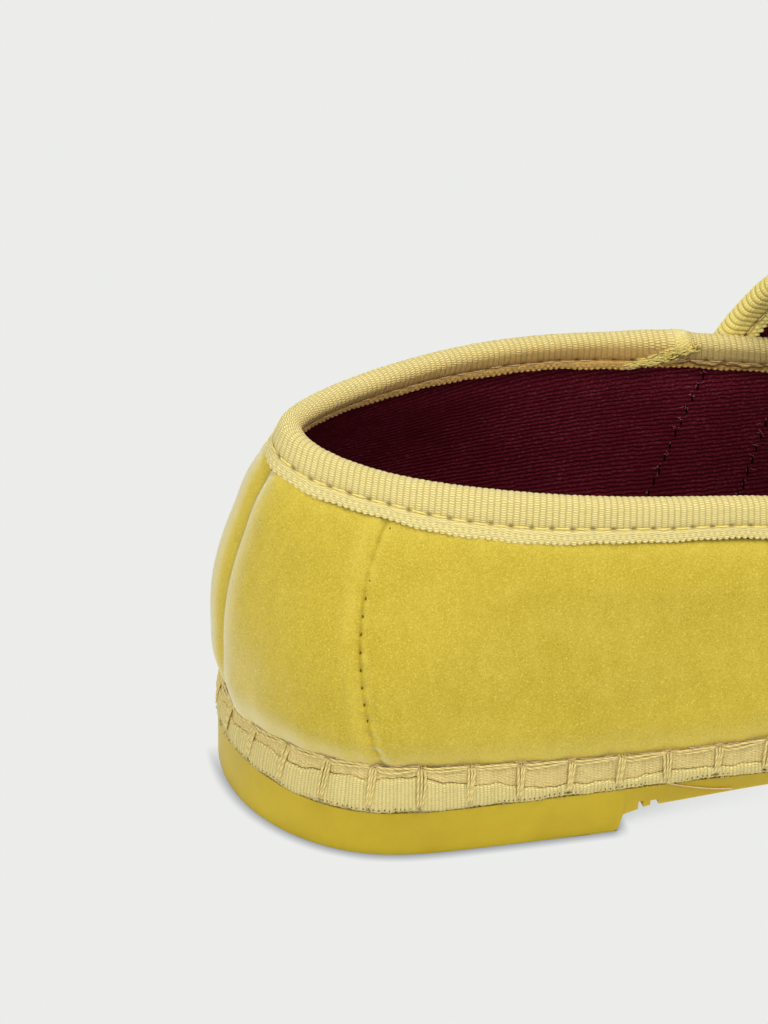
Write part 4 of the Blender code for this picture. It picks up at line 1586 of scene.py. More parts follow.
@dataclass
class Upper:
    """Velvet wall and its dark lining."""

    last: Last
    welt: Welt
    wall: float = 0.0022
    velvet: float = 0.0011
    tape: float = 0.0068
    stations: int = 760
    rows: int = 116
    needle_pitch: float = 0.0030
    backing: float = 0.0013
    lining_pitch: float = 0.0026
    lining_reach: float = 0.0460
    seams: Sequence[Seam] = (
        Seam(Side.OUTER, 0.0235, 0.0160, 0.0200),
        Seam(Side.INNER, 0.0235, 0.0160, 0.0200),
        Seam(Side.OUTER, 0.1180, 0.1230, 0.1280, 0.0003, 0.0009, 0.0002),
        Seam(Side.INNER, 0.1180, 0.1230, 0.1280, 0.0003, 0.0009, 0.0002),
    )
    back_valley: float = 0.0012
    back_width: float = 0.0017

    def places(self, count: int) -> Array:
        """Places round the shoe, closer together near the seams.

        Args:
            count: number of places.

        Returns:
            The places.
        """
        fine = np.linspace(0.0, 1.0, 4001)
        x = self.last.curve(fine)[:, 0]
        y = self.last.curve(fine)[:, 1]
        edge = np.interp(fine, *self.last.edge_table)
        away = np.minimum(edge, self.last.edge_table[1][-1] - edge)
        weight = 1.0 + 5.0 * bell(away, 0.0035)
        for seam in self.seams:
            dense = 6.0 if seam is self.seams[0] else 2.5
            weight += dense * bell(x - seam.x(0.5), 0.0055) * (y * seam.side.value > 0)
        total = np.concatenate(([0.0], np.cumsum(0.5 * (weight[1:] + weight[:-1]))))
        return np.interp(np.arange(count) / count * total[-1], total, fine)

    def sheet(self, u: Array, start: float, share: Array) -> tuple[Array, Array, Array]:
        """Depths at shares of the way from start to the welt, with points and directions."""
        depth = start + (self.last.wall_length(u)[:, None] - start) * share[None, :]
        return depth, self.last.wall(u, depth), self.last.wall_normals(u, depth)

    def outside(self) -> Shape:
        """Velvet wall with its seams, puckers and soft hollows.

        Returns:
            The shape.
        """
        u = self.places(self.stations)
        length = self.last.wall_length(u)[:, None]
        start = self.tape - 0.0016
        depth, grid, normal = self.sheet(u, start, np.linspace(0.0, 1.0, self.rows))
        out, hollow_shade, painted_highlight = self.relief(u, grid, depth, length)
        back_depth, back, outward = self.sheet(u, start, np.linspace(1.0, 0.0, 9))
        points = np.concatenate((grid + normal * out[:, :, None], back - outward * self.backing),
                                axis=1)
        along = np.interp(u, *self.last.edge_table)
        across = np.concatenate((depth, back_depth[:, :1] + 0.002 + (length - back_depth)),
                                axis=1)
        blank = np.zeros((len(u), 9))
        # Painted shade and painted highlight of the velvet, for its material.
        marks = {"hollow_shade": np.concatenate((hollow_shade, blank), axis=1),
                 "painted_highlight": np.concatenate((painted_highlight, blank), axis=1)}
        return grid_shape(points, along, across, True, self.welt.length(), marks)

    def relief(self, u: Array, grid: Array, depth: Array,
               length: Array) -> tuple[Array, Array, Array]:
        """How far the velvet stands out, its painted seam shade and its painted highlight bands.

        Args:
            u: places round the shoe.
            grid: points of the plain wall.
            depth: their depths below the collar.
            length: length of the wall at each place.

        Returns:
            Three grids of values.
        """
        below = depth - self.tape
        foot = length - depth
        share = np.linspace(0.0, 1.0, grid.shape[1])
        out = -0.0010 * (1 - ease(below, -0.0003, 0.0004))
        out -= 0.00040 * bell(below - 0.0002, 0.0012)
        out += 0.00045 * bell(below - 0.0075, 0.0045)
        out -= 0.00020 * bell(foot, 0.0007)
        out += 0.00050 * bell(foot - 0.0060, 0.0040)
        place = np.interp(u, *self.last.edge_table)[:, None]
        step = self.welt.length() / len(self.welt.stitch_places())
        turn = 2 * np.pi * (place - self.welt.first) / step
        out -= 0.00016 * np.cos(turn) * np.exp(-foot / 0.0045) * ease(foot, 0.0, 0.0012)
        collar = np.interp(u, *self.last.collar_table)[:, None]
        out += 0.00010 * np.cos(2 * np.pi * collar / 0.0033) * bell(below - 0.0010, 0.0014)
        out += self.undulation(grid)
        back = np.linalg.norm(grid - grid[:1], axis=2)
        near = grid[:, :, 0] < 0.05
        out -= np.where(near, self.back_valley * bell(back, self.back_width), 0.0)
        out += np.where(near, 0.00055 * bell(back - 0.0062, 0.0040), 0.0)
        # Painted shade down the middle of the back seam's valley.
        hollow_shade = np.where(near, 0.55 * bell(back, 0.0005), 0.0)
        # Painted highlight: pale bands beside the back seam, above the welt and below the collar.
        painted_highlight = np.where(near, 0.7 * bell(back - 0.0030, 0.0020), 0.0)
        painted_highlight = painted_highlight + 0.85 * bell(foot - 0.0012, 0.0032) + 0.40 * bell(below - 0.001, 0.0022)
        for seam in self.seams:
            away = seam_distance(grid, share, seam)
            run = (below - 0.0014) / self.needle_pitch
            tight = 0.62 + 0.38 * np.cos(2 * np.pi * run)
            patchy = 0.5 + 0.5 * np.sin(below * 410.0 + 1.3) * np.sin(below * 173.0)
            valley = seam.valley * bell(away, seam.width) + 0.00016 * bell(away, 0.0003)
            out -= tight * valley * ease(foot, 0.0002, 0.0030)
            out += seam.ridge * bell(away + 0.0022, 0.0013) + 0.6 * seam.ridge * bell(
                away - 0.0024, 0.0016)
            pull = bell(foot - 0.0020, 0.0020) * bell(away, 0.0016)
            out -= 0.00012 * pull
            # Painted shade along each seam's crease, patchy, and a little in the pucker at its foot.
            crease = (0.20 + 0.40 * patchy) * bell(away, 0.00030)
            hollow_shade = np.maximum(hollow_shade, crease + 0.10 * pull)
            # A broken pale band beside each seam and a broad one behind it: painted highlight.
            lint = 0.5 + 0.5 * np.sin(below * 640.0) * np.sin(below * 290.0 + 0.8)
            painted_highlight = painted_highlight + 0.75 * lint * bell(away - 0.0009, 0.0006) + 0.42 * bell(
                away + 0.0020, 0.0014)
        return out, np.clip(hollow_shade, 0, 1), np.clip(painted_highlight, 0, 1)

    @staticmethod
    def undulation(grid: Array) -> Array:
        """Low hollows and swells of a wall that has been handled.

        Args:
            grid: points of the wall.

        Returns:
            How far each point stands out.
        """
        x, y, z = grid[:, :, 0], grid[:, :, 1], grid[:, :, 2]
        return (0.00016 * np.sin(x * 95 + z * 60 + 0.5) + 0.00013 * np.sin(x * 190 - z * 140 + 1.9)
                + 0.00010 * np.sin(y * 230 + z * 170 + 0.3))

    def inside(self) -> Shape:
        """Lining from the collar down to the insole.

        Returns:
            The shape.
        """
        u = self.places(460)
        start = self.tape - 0.0036
        depth, grid, normal = self.sheet(u, start, np.linspace(0.0, 1.0, 60))
        below = depth - self.tape
        out = self.wall + 0.00035 * ease(below, 0.0, 0.004) + 0.6 * self.undulation(grid)
        inner = grid - normal * out[:, :, None]
        back_depth, back, outward = self.sheet(u, start, np.linspace(1.0, 0.0, 7))
        inner[:, -1, 2] = np.maximum(inner[:, -1, 2],
                                     self.last.seat(inner[:, -1, 0]) + self.last.welt_height)
        points = np.concatenate((inner, back - outward * (self.velvet + 0.0001)), axis=1)
        along = np.interp(u, *self.last.edge_table)
        across = np.concatenate((depth, back_depth + 0.08), axis=1)
        return grid_shape(points, along, across, True, self.welt.length(),
                          no_marks(points, "hollow_shade"))

    def lining_seam_shadows(self) -> Shape:
        """Dotted stitch lines of the lining, near black as a painted shadow along each seam.

        Returns:
            The shape.
        """
        paths, normals = [], []
        for side, top, foot in LINING_SEAMS:
            for depth in np.arange(0.0062, self.lining_reach, self.lining_pitch):
                share = depth / self.lining_reach
                u = self.last.edge_at(top + (foot - top) * share, side)
                span = depth + np.linspace(0.0, 0.0022, 6)
                wall, normal = self.last.wall_line(np.full(6, float(u)), span)
                lift = self.wall + 0.00045 + 0.00012 * np.sin(np.linspace(0, np.pi, 6))
                paths.append(wall - normal * (lift[:, None] - 0.00022))
                normals.append(-normal)
        return tube_shape(paths, normals, 0.00016, 6)

    def seam_stitches_in_shade(self) -> Shape:
        """Sunken thread at the needle holes of the velvet's seams, darkened as painted hole shade.

        Returns:
            The shape.
        """
        paths, normals = [], []
        share = np.linspace(0.0, 1.0, 7)
        for seam in self.seams:
            middle = float(self.last.edge_at(seam.x(0.5), seam.side))
            u = middle + np.linspace(-0.03, 0.03, 121)
            length = self.last.wall_length(u)[60]
            for start in np.arange(self.tape + 0.0014, length - 0.0070, self.needle_pitch):
                depth = start + 0.00050 * share
                wall = self.last.wall(u, depth[None, :])
                place = float(seam.x((start - self.tape) / (length - self.tape)))
                at = [np.interp(place, *zip(*sorted(zip(wall[:, k, 0], u)))) for k in range(7)]
                points, normal = self.last.wall_line(np.array(at), depth)
                sink = seam.valley + 0.00006 - 0.00010 * np.sin(np.pi * share)
                paths.append(points - normal * sink[:, None])
                normals.append(normal)
        return tube_shape(paths, normals, 0.00013, 6)

    def lint(self) -> Shape:
        """Tufts of light fibre that stand at the lining's needle holes.

        Returns:
            The shape.
        """
        rng = np.random.default_rng(41)
        paths, normals = [], []
        share = np.linspace(0.0, 1.0, 6)
        for side, top, foot in LINING_SEAMS:
            for depth in np.arange(0.0066, self.lining_reach, self.lining_pitch):
                for _ in range(int(rng.integers(1, 6))):
                    start = depth + rng.normal(0.0, 0.00035)
                    x = top + (foot - top) * start / self.lining_reach + rng.normal(0.0, 0.0003)
                    run = rng.normal(0.0, 0.00045) * share
                    u = self.last.edge_at(x + run, side)
                    span = start + rng.normal(0.0, 0.0004) * share
                    wall, normal = self.last.wall_line(u, span)
                    lift = self.wall + 0.00042 + 0.00018 * np.sin(np.pi * share)
                    paths.append(wall - normal * lift[:, None])
                    normals.append(-normal)
        return tube_shape(paths, normals, 0.00006, 5)

    def build(self, shop: Workshop, finishes: Finishes) -> None:
        """Make the upper's pieces.

        Args:
            shop: puts pieces on the frame.
            finishes: materials of the shoe.
        """
        shop.add("lining_lint", self.lint(), finishes.lint, Slot.LINING)
        shop.add("velvet_stitches_in_shade", self.seam_stitches_in_shade(), finishes.shaded_sunken_thread, Slot.VELVET)
        shop.add("upper_velvet", self.outside(), finishes.velvet, Slot.VELVET, ["upper"])
        shop.add("upper_lining", self.inside(), finishes.lining, Slot.LINING)
        shop.add("lining_seam_shadow_line", self.lining_seam_shadows(), finishes.seam, Slot.LINING)


@dataclass
class Tape:
    """Sizes of a ribbed tape folded over an edge."""

    width: float
    pitch: float
    thickness: float = 0.0008
    crown: float = 0.0012
    gap: float = 0.0003
    wall: float = 0.0022
    rib: float = 0.00015
    stitch_line: float = 0.0023
    stitch_pitch: float = 0.0033
    samples: int = 6
    rows: Sequence[float] = (0, 0.20, 0.42, 0.65, 0.90, 1.15, 1.40, 1.70, 1.95, 2.15, 2.35, 2.6,
                             3.0, 4.0, 5.1)

    def across(self) -> float:
        """Thickness over both layers and the edge between them."""
        return self.thickness + self.gap + self.wall

    def section(self) -> tuple[Array, Array, Array, Array, Array]:
        """Depth, inward offset, lift along both and distance across of each row's point.

        Returns:
            One value of each for every row.
        """
        across = self.across()
        outside = self.width - np.array([row * 0.001 for row in self.rows
                                         if row * 0.001 < self.width - self.crown - 0.0002])
        turn = np.linspace(0.0, np.pi, 9)
        inside = outside[::-1]
        depth = np.concatenate((outside, self.crown * (1 - np.sin(turn)), inside))
        offset = np.concatenate((0 * outside, 0.5 * across * (1 - np.cos(turn)),
                                 0 * inside + across))
        up = np.concatenate((0 * outside, -np.sin(turn), 0 * inside))
        out = np.concatenate((0 * outside - 1, -np.cos(turn), 0 * inside + 1))
        steps = np.hypot(np.diff(depth), np.diff(offset))
        return depth, offset, up, out, np.concatenate(([0.0], np.cumsum(steps)))

    def hidden(self, inner: Array, outer: Array) -> tuple[Array, Array]:
        """Rows of the tape's hidden face, from its inner edge to its outer one.

        Args:
            inner: extra widths inside.
            outer: extra widths outside.

        Returns:
            Depths and inward offsets.
        """
        fold = self.gap + self.thickness + 0 * inner
        inset = self.across() - self.thickness
        offsets = np.array((inset, inset, self.thickness, self.thickness))
        return (np.column_stack((self.width + inner, fold, fold, self.width + outer)),
                np.tile(offsets, (len(inner), 1)))

    def relief(self, place: Array, depth: Array) -> tuple[Array, Array, Array, Array]:
        """Lift, painted hollow shade and brightness of each point, and the ribs' phase.

        Args:
            place: distances along the tape.
            depth: depths of the rows.

        Returns:
            Three grids and one row.
        """
        phase = place / self.pitch
        low = self.width - depth[None, :]
        wave = np.abs(np.cos(np.pi * phase))[:, None]
        other = np.abs(np.sin(np.pi * phase))[:, None]
        lift = self.rib * np.sqrt(wave) * ease(low, self.stitch_line, self.stitch_line + 0.0006)
        first, second = wave * bell(low - 0.00020, 0.00044), other * bell(low - 0.00100, 0.00044)
        lift = lift + 0.00030 * first + 0.00026 * second
        lift = lift + 0.00012 * wave * bell(low - 0.00165, 0.00025)
        # Painted shade in the gaps between the edge loops.
        gap = (1 - ease(np.maximum(first, second), 0.25, 0.70)) * (1 - ease(low, 0.0014, 0.0018))
        row = bell(low - self.stitch_line, 0.00034)
        run = np.mod(place, self.stitch_pitch) - 0.5 * self.stitch_pitch
        pit = bell(run, 0.00045)[:, None]
        lift = lift - row * (0.00016 + 0.00024 * pit)
        # Painted shade below the stitch line and in the stitch pits.
        shade = bell(low - self.stitch_line - 0.0003, 0.0005)
        hollow_shade = np.clip(0.20 * shade + 0.85 * pit * row + 0.26 * gap, 0, 1)
        bright = 1.0 - ease(low, self.stitch_line - 0.0004, self.stitch_line)
        return lift, hollow_shade, np.broadcast_to(bright, hollow_shade.shape), phase


# Extra width of the collar's tape outside and inside, by distance along the topline from the back.
COLLAR_SHAPE = (
    (0.000, 0.0006, -0.0016),
    (0.012, 0.0004, -0.0021),
    (0.022, 0.0001, -0.0022),
    (0.032, 0.0010, -0.0020),
    (0.042, 0.0010, -0.0018),
    (0.056, 0.0003, -0.0016),
    (0.075, -0.0005, -0.0014),
    (0.095, -0.0003, -0.0012),
    (0.120, -0.0001, -0.0011),
    (0.200, 0.0000, -0.0010),
)


@dataclass
class Collar:
    """Ribbed tape folded over the topline, its stitches and its lapped end."""

    last: Last
    tape: Tape = field(default_factory=lambda: Tape(0.0068, 0.00105))
    lap_top: float = 0.0865
    lap_foot: float = 0.0765
    seed: int = 5

    def length(self) -> float:
        """Length of the topline."""
        return float(self.last.collar_table[1][-1])

    def u_at(self, place: Array) -> Array:
        """Places u at distances along the topline."""
        return self.last.collar_places(np.mod(place, self.length()))

    def widths(self, place: Array) -> Array:
        """Extra widths outside and inside at distances along the topline.

        Args:
            place: distances along the topline.

        Returns:
            Two rows of widths.
        """
        run = np.mod(place, self.length())
        away = np.minimum(run, self.length() - run)
        places, columns = soft_table(COLLAR_SHAPE)
        return np.array([np.interp(away, places, column) for column in columns])

    def surface(self, place: Array, depth: Array, offset: Array) -> Array:
        """Points at distances along the topline, depths and inward offsets.

        Args:
            place: distances along the topline.
            depth: depths below the topline.
            offset: inward offsets.

        Returns:
            A grid of points.
        """
        u = self.u_at(place)
        wall = self.last.wall(u, depth)
        return wall - self.last.wall_normals(u, depth) * offset[:, :, None]

    def lap(self, place: Array, share: Array) -> Array:
        """Signed distance along the inner topline from the tape's slanted end.

        Args:
            place: distances along the topline.
            share: place across the tape, 0 on the crown and 1 at the inner lower edge.

        Returns:
            A grid of distances, above 0 towards the toe.
        """
        ends = self.last.collar_at(np.array((self.lap_top, self.lap_foot)), Side.INNER)
        top, foot = np.interp(ends, *self.last.collar_table)
        line = top + (foot - top) * np.abs(share) ** 0.9
        line = line + 0.00028 * np.sin(11.0 * share) + 0.00018 * np.sin(31.0 * share + 1.0)
        return line[None, :] - place[:, None]

    def band(self) -> Shape:
        """The ribbed tape, with teeth along both edges and one lapped end.

        Returns:
            The shape.
        """
        tape = self.tape
        ribs = int(round(self.length() / tape.pitch))
        count = ribs * tape.samples
        place = np.arange(count) * self.length() / count
        rng = np.random.default_rng(self.seed)
        tall = np.repeat(rng.uniform(0.75, 1.2, ribs), tape.samples)
        depth, offset, up, out, across = tape.section()
        rows = len(depth)
        lift, hollow_shade, bright, phase = tape.relief(place * tape.pitch * ribs / self.length(), depth)
        lift = lift * tall[:, None] + 0.00010
        inner = ease(np.arange(rows), 0.5 * rows - 1.0, 0.5 * rows + 7)
        share = np.clip((depth - tape.crown) / (tape.width - tape.crown), 0, 1)
        signed = np.where(np.arange(rows) < rows / 2, -share, share)
        away = self.lap(place, signed)
        near = np.abs(away) < 0.03
        wave = 0.05 * np.sin(place * 900.0) + 0.03 * np.sin(place * 2300.0 + 1.0)
        edge = signed[None, :] - (0.72 + wave)[:, None]
        after = ease(away, 0.0, 0.0003) * (away < 0.06)
        on_top = (1 - ease(away, -0.0003, 0.0003)) * ease(away, -0.016, -0.004)
        ridge = bell(away + 0.0009, 0.0015)
        rough = 0.5 + 0.5 * np.sin(place * 5200.0)[:, None] * np.sin(signed * 40.0)[None, :]
        under = ease(edge, 0.0, 0.05) * after * ease(away, 0.004, 0.008)
        lift = lift + near * (0.00038 * on_top + ridge * (0.00042 + 0.00018 * rough))
        lift = lift - 0.00036 * under
        lift = lift * (1 - 0.7 * ridge * near) + near * 0.7 * ridge * 0.00060 * (0.7 + 0.5 * rough)
        # Painted shadow along the wavy edge of the lower layer beyond the lapped end.
        lap_shadow_line = bell(edge - 0.03, 0.085) * after * ease(away, 0.003, 0.007)
        hollow_shade = np.maximum(hollow_shade * (1 - ridge * near), lap_shadow_line)
        # Painted shade beside the frayed ridge of the lapped end.
        hollow_shade = np.maximum(hollow_shade, near * 0.25 * bell(away - 0.0008, 0.0004) * (signed > -0.2))
        tooth = 0.00022 * np.abs(np.cos(np.pi * phase)) ** 0.7 * tall - 0.00008
        outer_extra, inner_extra = self.widths(place)
        depths = depth[None, :] + up[None, :] * lift
        first = (np.arange(rows) < rows / 2)[None, :]
        extra = np.where(first, outer_extra[:, None], inner_extra[:, None])
        depths = depths + extra * share[None, :]
        offsets = offset[None, :] + out[None, :] * lift
        depths[:, 0] += tooth
        depths[:, -1] += tooth
        offsets[:, 0] += 0.00024
        offsets[:, -1] -= 0.00024
        sway = 0.00010 * np.sin(2 * np.pi * place / 0.021) + 0.00008 * np.sin(
            2 * np.pi * place / 0.0083 + 1.0)
        depths += sway[:, None] * share[None, :]
        hidden, inset = tape.hidden(inner_extra, outer_extra)
        points = self.surface(place, np.hstack((depths, hidden)), np.hstack((offsets, inset)))
        weave = np.concatenate((across, across[-1] + np.array((0.001, 0.007, 0.008, 0.014))))
        along = (phase * tape.pitch)[:, None] + np.zeros((count, len(weave)))
        along[:, :rows] += near * 0.004 * ridge
        blank = np.zeros((count, 4))
        bright = np.maximum(bright, near * ridge)
        # Share of the painted bounce light on the inner face, less past the lapped end and on the
        # ridge.
        past = 1 - 0.55 * ease(away, 0.0, 0.0004) * (away < 0.05) * (1 - ease(share, 0.5, 0.8))
        bounce_share = inner[None, :] * past * (1 - 0.85 * ridge * near)
        marks = {"hollow_shade": np.hstack((hollow_shade, blank)), "bright": np.hstack((bright, blank)),
                 "inner": np.hstack((bounce_share, blank))}
        return grid_shape(points, along, weave[None, :], True, ribs * tape.pitch, marks)

    def stitches(self, inner: bool) -> Shape:
        """Threads along the tape's outer or inner face.

        Args:
            inner: True for the inner face.

        Returns:
            The shape.
        """
        tape = self.tape
        step = tape.stitch_pitch
        count = int(self.length() / step)
        start = step * (np.arange(count) - 0.5) + 0.00045
        run = start[:, None] + (step - 0.0009) * np.linspace(0.0, 1.0, 9)[None, :]
        rise = np.sin(np.linspace(0.0, np.pi, 9)) ** 0.5
        rng = np.random.default_rng(self.seed + 1 + int(inner))
        low = tape.stitch_line + rng.normal(0.0, 0.00008, (count, 1))
        extra = self.widths(run.ravel())[int(inner)].reshape(count, 9)
        depth = tape.width + extra * 0.6 - low
        lift = -0.00002 + 0.00020 * rise[None, :] + np.zeros((count, 1))
        offset = tape.across() + lift if inner else -lift
        points = self.surface(run.ravel(), depth.reshape(-1, 1), offset.reshape(-1, 1))
        normal = self.last.wall_normals(self.u_at(run.ravel()), depth.reshape(-1, 1))
        normal = normal.reshape(count, 9, 3) * (-1.0 if inner else 1.0)
        return tube_shape(points.reshape(count, 9, 3), normal, 0.00011 if inner else 0.00014, 6)

    def frays(self) -> Shape:
        """Short fibres along the slanted end of the tape.

        Returns:
            The shape.
        """
        rng = np.random.default_rng(self.seed + 7)
        paths, normals = [], []
        tape = self.tape
        way = np.linspace(0.0, 1.0, 6)
        for _ in range(230):
            first = rng.uniform(-0.26, 0.80)
            share = first + rng.uniform(0.05, 0.18) * way
            run = self.lap(np.zeros(1), np.maximum(share, 0.0))[0]
            run = run + rng.normal(0.0004, 0.0012)
            run = run + rng.normal(0.0, 0.0006) * way ** 2
            flat = tape.crown + (tape.width - 0.0016 - tape.crown) * share
            flat = flat + rng.normal(0.0, 0.0002)
            lift = 0.00045 + 0.00025 * np.sin(np.pi * way) + rng.uniform(0.0, 0.0001)
            over = np.clip(1.0 - flat / tape.crown, 0.0, 1.0)
            level = np.sqrt(1.0 - over ** 2)
            depth = flat - over * lift
            offset = 0.5 * tape.across() * (1.0 + level) + level * lift
            paths.append(self.surface(run, depth[:, None], offset[:, None])[:, 0])
            normals.append(-self.last.wall_normals(self.u_at(run), depth[:, None])[:, 0])
        return tube_shape(paths, normals, 0.00010, 5)

    def build(self, shop: Workshop, finishes: Finishes) -> None:
        """Make the collar's pieces.

        Args:
            shop: puts pieces on the frame.
            finishes: materials of the shoe.
        """
        shop.add("collar_ribs", self.band(), finishes.tape, Slot.TAPE, ["collar_tape"])
        shop.add("collar_stitches", self.stitches(False), finishes.tuft, Slot.TAPE)
        shop.add("collar_stitches_inside", self.stitches(True), finishes.fibre, Slot.TAPE)
        shop.add("lap_frays", self.frays(), finishes.tuft, Slot.TAPE)


@dataclass
class Strap:
    """Velvet band over the instep with taped edges, sewn to the outside of both quarters."""

    last: Last
    x: float = 0.0937
    width: float = 0.0212
    lean: float = 0.0144
    crown_y: float = -0.0010
    crown_z: float = 0.0805
    slope: tuple[float, float] = (0.0176, -0.0112)
    lap: float = 0.0105
    sweep: float = 0.0050
    rise: tuple[float, float, float] = (0.0080, 0.0013, 0.0114)
    front_rise: float = 0.8
    shoulder: float = 0.0145
    tape: Tape = field(default_factory=lambda: Tape(0.0055, 0.00102, stitch_line=0.0018))
    seed: int = 23

    def edge(self, front: bool, lap_steps: int = 24, arch_steps: int = 60) -> Array:
        """Inner face of one edge of the strap, from the outer quarter over to the inner.

        Args:
            front: True for the front edge.
            lap_steps: steps over a quarter.
            arch_steps: steps of half the arch.

        Returns:
            The points in order.
        """
        base = self.x + (self.width if front else 0.0)
        crown = np.array((self.x + self.lean, self.crown_y, self.crown_z))
        if front:
            crown = crown + (self.slope[0], 0.0, self.slope[1])
        halves = []
        for side in (Side.OUTER, Side.INNER):
            depth = np.linspace(self.lap, 0.0, lap_steps)
            u = self.last.collar_at(base - self.sweep * depth / self.lap, side)
            wall, normal = self.last.wall_line(u, depth)
            lap = wall + normal * self.last.gap
            start = lap[-1]
            rise = np.array(self.rise) * (1.0, -side.value, 1.0)
            first = start + rise * (self.front_rise if front else 1.0)
            second = crown + (0.0, side.value * self.shoulder, 0.0)
            t = np.linspace(0.0, 1.0, arch_steps + 1)[1:, None]
            halves.append(np.vstack((lap, cubic(t, start, first, second, crown))))
        return smoothed(np.vstack((halves[0], halves[1][-2::-1])), 30)

    def frames(self, step: float) -> tuple[Array, Array, Array, Array]:
        """Rear edge, front edge and outward direction at even places, and the places.

        Args:
            step: distance between places.

        Returns:
            Four rows.
        """
        rear, front = self.edge(False), self.edge(True)
        middle = 0.5 * (rear + front)
        length = path_lengths(middle)
        count = int(round(length[-1] / step)) + 1
        place = np.linspace(0.0, length[-1], count)
        rear, front = (at_places(place, length, line) for line in (rear, front))
        along = smoothed(np.gradient(0.5 * (rear + front), axis=0), 12)
        return rear, front, unit(np.cross(front - rear, along)), place

    def layer(self, step: float, section: Callable[[Array], tuple[Array, Array]],
              from_front: bool = False) -> tuple[Array, Array]:
        """Points of a piece of the strap, section by section.

        Args:
            step: distance between sections.
            section: gives distances from the edge and inward offsets for the widths.
            from_front: True if distances start at the front edge.

        Returns:
            The points and the places of the sections.
        """
        rear, front, outward, place = self.frames(step)
        here, there = (front, rear) if from_front else (rear, front)
        width = np.linalg.norm(there - here, axis=1)
        run = (there - here) / width[:, None]
        depth, offset = section(width)
        points = (here[:, None] + run[:, None] * depth[:, :, None]
                  + outward[:, None] * (self.tape.across() - offset)[:, :, None])
        return points, place

    def velvet_shape(self) -> Shape:
        """Velvet face of the strap.

        Returns:
            The shape.
        """
        band = self.tape.width

        def section(width: Array) -> tuple[Array, Array]:
            """Give distances from the edge and inward offsets of the sections.

            Args:
                width: width of the strap at each section.

            Returns:
                Distances and offsets.
            """
            share = np.linspace(0.0, 1.0, 40)[None, :]
            low = band - 0.0012
            depth = low + (width[:, None] - 2 * low) * share
            edge = np.minimum(depth, width[:, None] - depth) - band
            offset = 0.0009 * (1 - ease(edge, -0.0003, 0.0005)) + 0.0003 * bell(edge, 0.0012)
            offset = offset - 0.0004 * ease(edge, 0.0, 0.004)
            back = low + (width[:, None] - 2 * low) * np.linspace(1.0, 0.0, 6)[None, :]
            return np.hstack((depth, back)), np.hstack((offset, 0 * back + 0.0014))

        points, place = self.layer(0.0006, section)
        across = np.concatenate((np.linspace(0, 0.02, 40), np.linspace(0.03, 0.05, 6)))
        return grid_shape(points, place, across[None, :], False,
                          marks=no_marks(points, "hollow_shade", "painted_highlight"))

    def lining_shape(self) -> Shape:
        """Dark underside of the strap.

        Returns:
            The shape.
        """

        def section(width: Array) -> tuple[Array, Array]:
            """Give distances from the edge and inward offsets of the sections.

            Args:
                width: width of the strap at each section.

            Returns:
                Distances and offsets.
            """
            low = 0.0014
            depth = low + (width[:, None] - 2 * low) * np.linspace(0.0, 1.0, 16)[None, :]
            back = depth[:, ::-1]
            return np.hstack((depth, back)), np.hstack((0 * depth + 0.0023, 0 * back + 0.0015))

        points, place = self.layer(0.0012, section)
        across = np.concatenate((np.linspace(0, 0.02, 16), np.linspace(0.03, 0.05, 16)))
        return grid_shape(points, place, across[None, :], False,
                          marks=no_marks(points, "hollow_shade"))

    def tape_shape(self, from_front: bool) -> Shape:
        """Ribbed tape folded over one edge of the strap.

        Args:
            from_front: True for the front edge.

        Returns:
            The shape.
        """
        tape = self.tape
        depth, offset, up, out, across = tape.section()
        rng = np.random.default_rng(self.seed + int(from_front))
        tall = rng.uniform(0.8, 1.3, 400)

        def section(width: Array) -> tuple[Array, Array]:
            """Give distances from the edge and inward offsets of the sections.

            Args:
                width: width of the strap at each section.

            Returns:
                Distances and offsets.
            """
            count = len(width)
            place = np.linspace(0.0, self.length(), count)
            lift, hollow_shade, bright, phase = tape.relief(place, depth)
            lift = lift * tall[np.floor(phase + 0.5).astype(int) % 400][:, None] * 1.6 + 0.0001
            depths = depth[None, :] + up[None, :] * lift
            offsets = offset[None, :] + out[None, :] * lift
            tooth = 0.00028 * np.abs(np.cos(np.pi * phase)) ** 0.7
            depths[:, 0] += tooth
            depths[:, -1] += tooth
            hidden, inset = tape.hidden(np.zeros(count), np.zeros(count))
            return np.hstack((depths, hidden)), np.hstack((offsets, inset))

        points, place = self.layer(tape.pitch / tape.samples, section, from_front)
        lift, hollow_shade, bright, phase = tape.relief(np.linspace(0.0, self.length(), len(place)),
                                                  depth)
        weave = np.concatenate((across, across[-1] + np.array((0.001, 0.006, 0.007, 0.012))))
        blank = np.zeros((len(place), 4))
        marks = {"hollow_shade": np.hstack((hollow_shade, blank)), "bright": np.hstack((bright, blank))}
        return grid_shape(points, phase * tape.pitch, weave[None, :], False, marks=marks)

    def length(self) -> float:
        """Length of the strap's middle line."""
        return float(path_lengths(0.5 * (self.edge(False) + self.edge(True)))[-1])

